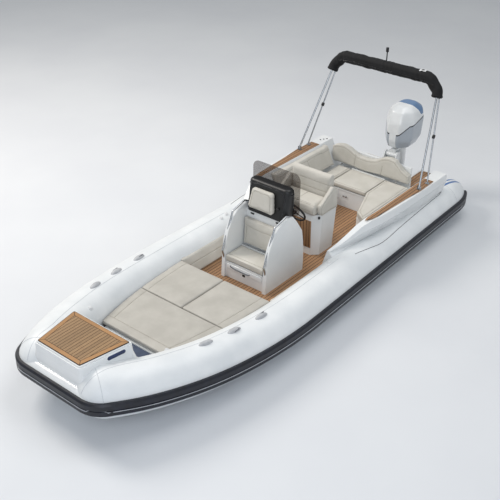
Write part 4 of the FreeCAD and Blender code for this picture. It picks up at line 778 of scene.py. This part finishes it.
planks = teakPlanks(bowDeck)
planked = [face.material_index for face in planks.data.polygons]
dress(planks, "bowLidPlanks", "bowTeak", "bow_lid")
planks.data.materials.append(surface["bowPlanks"])
for face, number in zip(planks.data.polygons, planked):
    face.material_index = number
nodes["bow_lid_teak"].data.materials[0] = surface["caulk"]
nodes["foredeck_pad"].data.materials[0] = surface["slate"]
print("bow lid planked")

# Strake: a pale bead in its channel, and a pale line along its foot that is a painted highlight on the rail's lower
# edge, both round the nose as well
# The second line, low on the rail, is the painted highlight on its lower edge
strake = {"lines": ((0.352, -0.024), (0.342, -0.098)), "line": 0.0045, "noseFrom": 0.30,
          "tail": ((-3.80, 1.20, 0.33), (-3.62, 1.27, 0.33)), "nose": ((3.50, 0.60, 0.52), (3.55, 0.45, 0.52))}
tubeAxis = [(-3.380, 0.995, 0.330), (-1.5, 1.0275, 0.330), (0.5, 1.062, 0.330), (1.05, 1.045, 0.338),
            (1.50, 1.007, 0.355), (1.865, 0.966, 0.378), (2.20, 0.905, 0.404), (2.50, 0.826, 0.432),
            (2.739, 0.739, 0.458), (2.95, 0.650, 0.483), (3.230, 0.500, 0.520)]


def besideTube(out, rise):
    # The port tube's middle line, moved outboard and up.
    places = []
    for before, here, after in zip(tubeAxis[:1] + tubeAxis, tubeAxis, tubeAxis[1:] + tubeAxis[-1:]):
        ahead = (Vector(after) - Vector(before)).normalized()
        outward = Vector((-ahead.y, ahead.x, 0)).normalized()
        places.append(Vector(here) + outward * out + Vector((0, 0, rise)))
    return places


railSkin = surfaceOf(nodes["rub_rails"], nodes["rub_rail_bow"])
lines = []
for out, rise in strake["lines"]:
    tail = [Vector((x, y, z + rise)) for x, y, z in strake["tail"]]
    nose = [Vector((x + out - strake["noseFrom"], y, z + rise)) for x, y, z in strake["nose"]]
    port = tail + besideTube(out, rise) + nose
    lines.append(port + [Vector((p.x, -p.y, p.z)) for p in reversed(port)])
strakeStripeAndHighlight = threads([laidOn(railSkin, eased(line, 2), 0.03, 0.001) for line in lines], strake["line"])
dress(strakeStripeAndHighlight, "strakeStripeAndHighlight", "paleBeadAndHighlight")

# Tubes: glued seams and welts, a black line that is painted shade where the coaming's edge meets the tube, small
# valves, and painted shade in the slots of the hand grips
tubeSkin = surfaceOf(nodes["tube_port"], nodes["tube_starboard"])
# The dark run is painted shade under the coaming's edge; the pale runs are glued seams
tubeWelts = {"dark": [[(-0.75, 1.10, 0.62), (-1.039, 1.155, 0.605), (-1.308, 1.199, 0.578), (-1.84, 1.165, 0.600),
                       (-2.787, 1.125, 0.610), (-3.12, 1.115, 0.610), (-3.22, 1.06, 0.62), (-3.26, 0.97, 0.63)]],
             "pale": [[(2.62, 0.735, 0.74), (2.10, 0.885, 0.69), (1.40, 0.975, 0.65), (0.50, 1.01, 0.63),
                       (-0.50, 1.00, 0.62)],
                      [(3.52, 0.446, 0.634), (3.336, 0.499, 0.804), (3.105, 0.545, 0.806), (2.80, 0.673, 0.766),
                       (2.62, 0.735, 0.74)]]}


tubeRadius = 0.31


def ringRun(x, middleY, middleZ, lean, first, last):
    # A seam round the tube's top, between two angles from straight up in degrees, outboard over 0.
    run = []
    for step in range(first, last + 1, 10):
        angle = math.radians(step)
        out, rise = math.sin(angle) * tubeRadius, math.cos(angle) * tubeRadius
        run.append((x + lean * out, middleY + out * math.sqrt(1 - lean ** 2), middleZ + rise))
    return run


def bothSides(runs):
    return runs + [[(x, -y, z) for x, y, z in run] for run in runs]


def weltsOn(runs, lift, radius):
    return threads([laidOn(tubeSkin, eased(run), 0.03, lift) for run in bothSides(runs)], radius)


# Painted shade: a black cord where the coaming's edge sits on the tube
dress(weltsOn(tubeWelts["dark"], 0.001, 0.0035), "coamingEdgeShadow", "rubber")
rings = [ringRun(3.30, 0.455, 0.53, 0.5, -20, 95), ringRun(-3.36, 0.995, 0.33, 0, -60, 80)]
dress(weltsOn(tubeWelts["pale"] + rings, 0.0005, 0.0025), "tubeSeams", "weltFabric")
valve = {"places": ((-0.355, -0.951, 0.612), (-0.485, -0.967, 0.617), (2.416, -0.640, 0.655),
                    (-0.355, 0.951, 0.612), (2.416, 0.640, 0.655)),
         "rings": [(0.030, -0.002), (0.030, 0.006), (0.024, 0.010), (0.018, 0.010), (0.016, 0.018), (0.010, 0.021)]}
valves = []
for place in valve["places"]:
    hit = tubeSkin.find_nearest(Vector(place))
    valves.append(turnedKnob(hit[0], hit[1], valve["rings"]))
dress(joined(valves), "airValves", "whitePlastic")
# Painted shade: dark grey plates sunk into the grips' tops stand in for the shade in their finger slots
gripSlotShade = {"middles": (1.18, 1.64, 2.10), "outward": 1.03, "size": (0.080, 0.016, 0.006), "bevel": 0.0028,
            "sunk": Vector((0, 0, -0.001)), "turn": (0, 0, 0.1)}
gripSkin = surfaceOf(nodes["tube_handles"])
slotShades = []
for side in (1, -1):
    for x in gripSlotShade["middles"]:
        hit = dropped(gripSkin, x, side * gripSlotShade["outward"])
        if hit:
            slotShades.append(blockAt(hit + gripSlotShade["sunk"], gripSlotShade))
dress(joined(slotShades), "gripSlotShades", "darkGrey")
print("tubes and strake lined:", len(slotShades), "grip slots")

# Bow locker: the oblong hand slot in the side of the moulding
bowSkin = surfaceOf(nodes["bow_moulding"])
handSlot = {"x": 2.995, "out": 0.455, "z": 0.845, "size": (0.235, 0.010, 0.050), "rim": (0.257, 0.005, 0.072)}
for side, word in ((1, "port"), (-1, "starboard")):
    hit = bowSkin.find_nearest(Vector((handSlot["x"], side * handSlot["out"], handSlot["z"])))
    turn = hit[1].to_track_quat("Y", "Z").to_euler()
    slotPiece = oblong(hit[0], handSlot["size"], turn, 0.002)
    rim = oblong(hit[0], handSlot["rim"], turn, 0.001)
    dress(rim, word + "BowSlotRim", "gelcoat")
    dress(slotPiece, word + "BowSlot", "navy")

# Console: hood frame, latches, lip and handle under the seat, and the helm's dash
hoodSkin = surfaceOf(nodes["binnacle"])
hoodRuns = [[(-0.15, -0.245, 1.13), (-0.19, -0.262, 1.40), (-0.20, -0.235, 1.475), (-0.20, -0.15, 1.497),
             (-0.20, 0.20, 1.497), (-0.20, 0.285, 1.475), (-0.19, 0.312, 1.40), (-0.15, 0.295, 1.13)]]
hoodRuns += [[(-0.20, side, 1.46), (-0.33, side, 1.46), (-0.33, side, 1.20)] for side in (0.37, -0.32)]
hoodFrame = threads([laidOn(hoodSkin, run, 0.02, 0.002) for run in hoodRuns], 0.006)
dress(hoodFrame, "hoodFrame", "blackGloss")
consoleCatch = {"x": -0.1485, "z": 1.042, "sides": (-0.20, 0.23), "size": (0.012, 0.058, 0.022), "bevel": 0.004}
hoodKnob = {"place": (-0.137, 0.235, 1.262), "direction": (1, 0, 0.18),
            "rings": [(0.020, -0.012), (0.020, 0.006), (0.013, 0.012)]}
seatCatch = {"place": (0.303, 0.02, 0.345), "size": (0.010, 0.045, 0.030), "bevel": 0.003}
catches = blocksOf(consoleCatch) + [turnedKnob(*hoodKnob.values()), blockAt(seatCatch["place"], seatCatch)]
dress(joined(catches), "consoleLatches", "blackPlastic")
seatLip = {"place": (0.3085, 0.03, 0.408), "size": (0.014, 0.600, 0.078), "bevel": 0.006, "segments": 3}
dress(blockAt(seatLip["place"], seatLip), "seatLip", "gelcoat", "console_seat")
seatHandle = {"radius": 0.008, "run": [(0.314, -0.205, 0.425), (0.322, -0.19, 0.412), (0.324, -0.10, 0.402),
                                       (0.324, 0.06, 0.398), (0.322, 0.12, 0.402), (0.314, 0.135, 0.412)]}
handle = threads([seatHandle["run"]], seatHandle["radius"], sides=2)
dress(handle, "seatHandle", "darkGrey", "console_seat")
consoleSkin = surfaceOf(nodes["console"])


def onDash(y, z):
    # Where a line ahead from behind the console meets it, and which way it faces there.
    place, normal = consoleSkin.ray_cast(Vector((-1.2, y, z)), Vector((1, 0, 0)))[:2]
    return place, normal


gauge = {"places": ((-0.09, 0.99), (0.19, 0.99)), "sides": 28,
         "rings": [(0.048, -0.004), (0.048, 0.010), (0.041, 0.014), (0.038, 0.008), (0.030, 0.0078)]}
switches = {"place": (0.05, 1.01), "size": (0.014, 0.120, 0.050), "bevel": 0.004}
gauges = [turnedKnob(*onDash(*place), gauge["rings"], gauge["sides"]) for place in gauge["places"]]
place, normal = onDash(*switches["place"])
gauges.append(blockAt(place, {**switches, "turn": normal.to_track_quat("X", "Z").to_euler()}))
dress(joined(gauges), "dashGauges", "blackGloss")
throttle = {"place": (-0.25, 0.97), "box": (-0.01, 0, 0), "size": (0.045, 0.060, 0.110), "bevel": 0.012,
            "arm": ((-0.03, -0.035, 0), (-0.05, -0.035, 0.09), (-0.055, -0.035, 0.14)), "radius": 0.008,
            "knob": (-0.055, -0.035, 0.13), "rings": [(0.014, 0), (0.019, 0.010), (0.019, 0.030), (0.012, 0.040)]}
foot = onDash(*throttle["place"])[0]
lever = [blockAt(foot + Vector(throttle["box"]), throttle),
         threads([[foot + Vector(place) for place in throttle["arm"]]], throttle["radius"], sides=2),
         turnedKnob(foot + Vector(throttle["knob"]), (0, 0, 1), throttle["rings"])]
dress(joined(lever), "throttleLever", "blackPlastic")
print("console fitted")

# Helm seat: latch and teak foot panel on the pedestal
latch = {"place": (-0.931, 0.364, 0.838), "size": (0.030, 0.030, 0.040), "bevel": 0.009, "turn": (0, 0, 0.785)}
panel = {"place": (-0.868, 0.03, 0.56), "size": (0.012, 0.50, 0.44), "bevel": 0.004, "turn": (0, 0.028, 0)}
dress(blockAt(latch["place"], latch), "pedestalLatch", "blackPlastic")
dress(blockAt(panel["place"], panel), "footPanel", "deckTeak")

# Sofa: bench latch, brackets of the backrest, and studs on the starboard coaming
benchLatch = {"x": -2.413, "z": 0.40, "sides": (-0.195, -0.145), "size": (0.014, 0.028, 0.030), "bevel": 0.005}
backBracket = {"x": -2.975, "z": 0.622, "sides": (-0.62, 0.40), "size": (0.030, 0.030, 0.030), "bevel": 0.006}
dress(joined(blocksOf(benchLatch) + blocksOf(backBracket)), "sofaBrackets", "stainless")
stud = {"places": ((-2.97, -1.06, 0.925), (-3.02, -1.03, 0.925), (-3.07, -1.00, 0.925)), "sides": 12,
        "rings": [(0.012, -0.001), (0.012, 0.004), (0.007, 0.008)]}
studs = [turnedKnob(place, (0, 0, 1), stud["rings"], stud["sides"]) for place in stud["places"]]
dress(joined(studs), "coamingStuds", "blackPlastic")

# Cowl: the solid's form with its edges rounded, as the moulded cover has
cowlRound = {"voxel": 0.014, "drawnIn": 0.001, "turns": 24, "face": (0, 0, 1)}
cowlShell = solidCopy("outboard_cowl")
cowlRoom = cornersOf(cowlShell)
remeshed(cowlShell, cowlRound)
modified(cowlShell, "SMOOTH", {"factor": 0.5, "iterations": cowlRound["turns"]})
filledOut(cowlShell, cowlRoom, cowlRound)
bpy.ops.object.shade_smooth()
dress(cowlShell, "cowlShell", "cowl", "outboard")
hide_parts("outboard_cowl")

# Awning: clamps where the braces meet the stays, and a lamp on the boot
clamp = {"near": (-2.86, 1.02, 1.60), "inset": 0.012, "size": (0.046, 0.040, 0.060), "bevel": 0.012,
         "turn": (0, -0.43, 0)}
braceSkin = surfaceOf(nodes["awning_braces"])
clamps = []
for side in (1, -1):
    x, y, z = clamp["near"]
    hit = braceSkin.find_nearest(Vector((x, side * y, z)))
    clamps.append(blockAt(hit[0] - hit[1] * clamp["inset"], clamp))
dress(joined(clamps), "stayClamps", "blackPlastic", "awning")
bootLamp = {"x": -3.035, "y": 0.62, "sunk": Vector((0, 0, -0.012)), "size": (0.070, 0.110, 0.026), "bevel": 0.010,
            "turn": (0, 0, 0.1)}
lampPlace = dropped(surfaceOf(nodes["awning_boot"]), bootLamp["x"], bootLamp["y"]) + bootLamp["sunk"]
dress(blockAt(lampPlace, bootLamp), "bootLamp", "whitePlastic", "awning")

# Boot: the awning rolled in canvas, creased across where it is strapped
boot = {"voxel": 0.013, "drawnIn": 0.001, "crease": 0.0045, "spacing": 0.13, "outward": 0.5, "proud": 0.010,
        "sag": 0.030, "height": 2.4, "slant": 0.45, "sway": 0.05, "swayTurns": 9}
creaseTurns = {"long": 7.3, "short": 17, "along": 9}
broadTurns = Vector((17, 23, 31))
broadShare = 0.35


def creased(place):
    # Slanting creases in groups, on broader swells, between about -1.35 and 1.35.
    slant = place.y + boot["slant"] * (place.z - boot["height"]) + boot["sway"] * math.sin(place.y * boot["swayTurns"])
    fold = math.sin(slant * 2 * math.pi / boot["spacing"]) * math.sin(slant * creaseTurns["long"] + 1)
    fold *= math.sin(slant * creaseTurns["short"] + place.x * creaseTurns["along"])
    return fold + broadShare * math.sin(place.dot(broadTurns))


def hung(place, normal):
    # The canvas may hang under the roll that it holds.
    return boot["proud"] + boot["sag"] * max(0, -normal.z)


bootPiece = solidCopy("awning_boot")
bootOutside = surfaceOf(bootPiece)
remeshed(bootPiece, boot)
modified(bootPiece, "SUBSURF", oneFiner)
normals = [vertex.normal.copy() for vertex in bootPiece.data.vertices]
for vertex, normal in zip(bootPiece.data.vertices, normals):
    out = boot["crease"] * (creased(vertex.co) + boot["outward"])
    vertex.co += normal * (out + boot["sag"] * max(0, -normal.z))
heldIn(bootPiece, bootOutside, hung)
bpy.ops.object.shade_smooth()
dress(bootPiece, "awningBoot", "canvas", "awning")
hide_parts("awning_boot")
zipRun = [(-2.93, -0.86, 2.33), (-2.955, -0.6, 2.36), (-2.955, 0.6, 2.36), (-2.93, 0.86, 2.33)]
bootZip = threads([laidOn(surfaceOf(bootPiece), zipRun, 0.03, 0.001)], 0.003)
dress(bootZip, "bootZip", "blackGloss", "awning")
print("awning dressed")


# Camera, floor at the waterline and studio light
view = {"target": (-0.04, -0.15, 0.53), "azimuth": 129.06, "elevation": 31.25, "roll": 0.43,
        "distance": 11.86, "focalPixels": 860.42, "imagePixels": 500, "sensor": 36, "clipEnd": 200}


def placeCamera():
    data = bpy.data.cameras.new("camera")
    camera = linked("camera", data)
    azimuth, elevation = math.radians(view["azimuth"]), math.radians(view["elevation"])
    back = Vector((math.sin(azimuth) * math.cos(elevation), -math.cos(azimuth) * math.cos(elevation),
                   math.sin(elevation)))
    right = (-back).cross(Vector((0, 0, 1))).normalized()
    up = back.cross(right)
    roll = math.radians(view["roll"])
    turnedRight = right * math.cos(roll) + up * math.sin(roll)
    turnedUp = up * math.cos(roll) - right * math.sin(roll)
    place = Vector(view["target"]) + back * view["distance"]
    camera.matrix_world = Matrix((
        (turnedRight.x, turnedUp.x, back.x, place.x), (turnedRight.y, turnedUp.y, back.y, place.y),
        (turnedRight.z, turnedUp.z, back.z, place.z), (0, 0, 0, 1)))
    data.sensor_width = view["sensor"]
    data.lens = view["focalPixels"] / view["imagePixels"] * view["sensor"]
    data.clip_end = view["clipEnd"]
    bpy.context.scene.camera = camera


def paleFloor():
    # Matt studio paper, pale grey so that the white hull stands out and its shadow lies on it.
    material, tree, shader, place = newMaterial("studioPaper", {"Roughness": 0.9})
    painted(tree, shader, place, "D3D6DA", "D9DCDF", 3.0)
    return material


floorSize = 90
worldLight = {"colour": "F2F5F8", "strength": 0.50}
lampsAim = Vector((0, 0, 0.5))
lampRows = [("keyLamp", (2.5, -9.0, 10.0), 5.0, 1080, "FFF8F0"), ("fillLamp", (9.0, 6.0, 6.0), 7.0, 350, "EEF4FF"),
            ("topLamp", (-2.0, 2.0, 11.0), 7.0, 390, "FFFFFF")]


def buildStage():
    bpy.ops.mesh.primitive_plane_add(size=floorSize, location=(0, 0, 0))
    floor = bpy.context.object
    floor.name = "studioFloor"
    floor.data.materials.append(paleFloor())
    world = bpy.data.worlds.new("studioWorld")
    bpy.context.scene.world = world
    world.use_nodes = True
    background = world.node_tree.nodes["Background"]
    background.inputs["Color"].default_value = hexColour(worldLight["colour"])
    background.inputs["Strength"].default_value = worldLight["strength"]
    for name, place, size, power, colour in lampRows:
        data = bpy.data.lights.new(name, "AREA")
        data.shape = "SQUARE"
        data.size = size
        data.energy = power
        data.color = hexColour(colour)[:3]
        lamp = linked(name, data)
        lamp.location = place
        lamp.rotation_euler = (lampsAim - Vector(place)).to_track_quat("-Z", "Y").to_euler()


placeCamera()
buildStage()
bpy.context.scene.view_settings.view_transform = "Standard"
print("camera and light set")
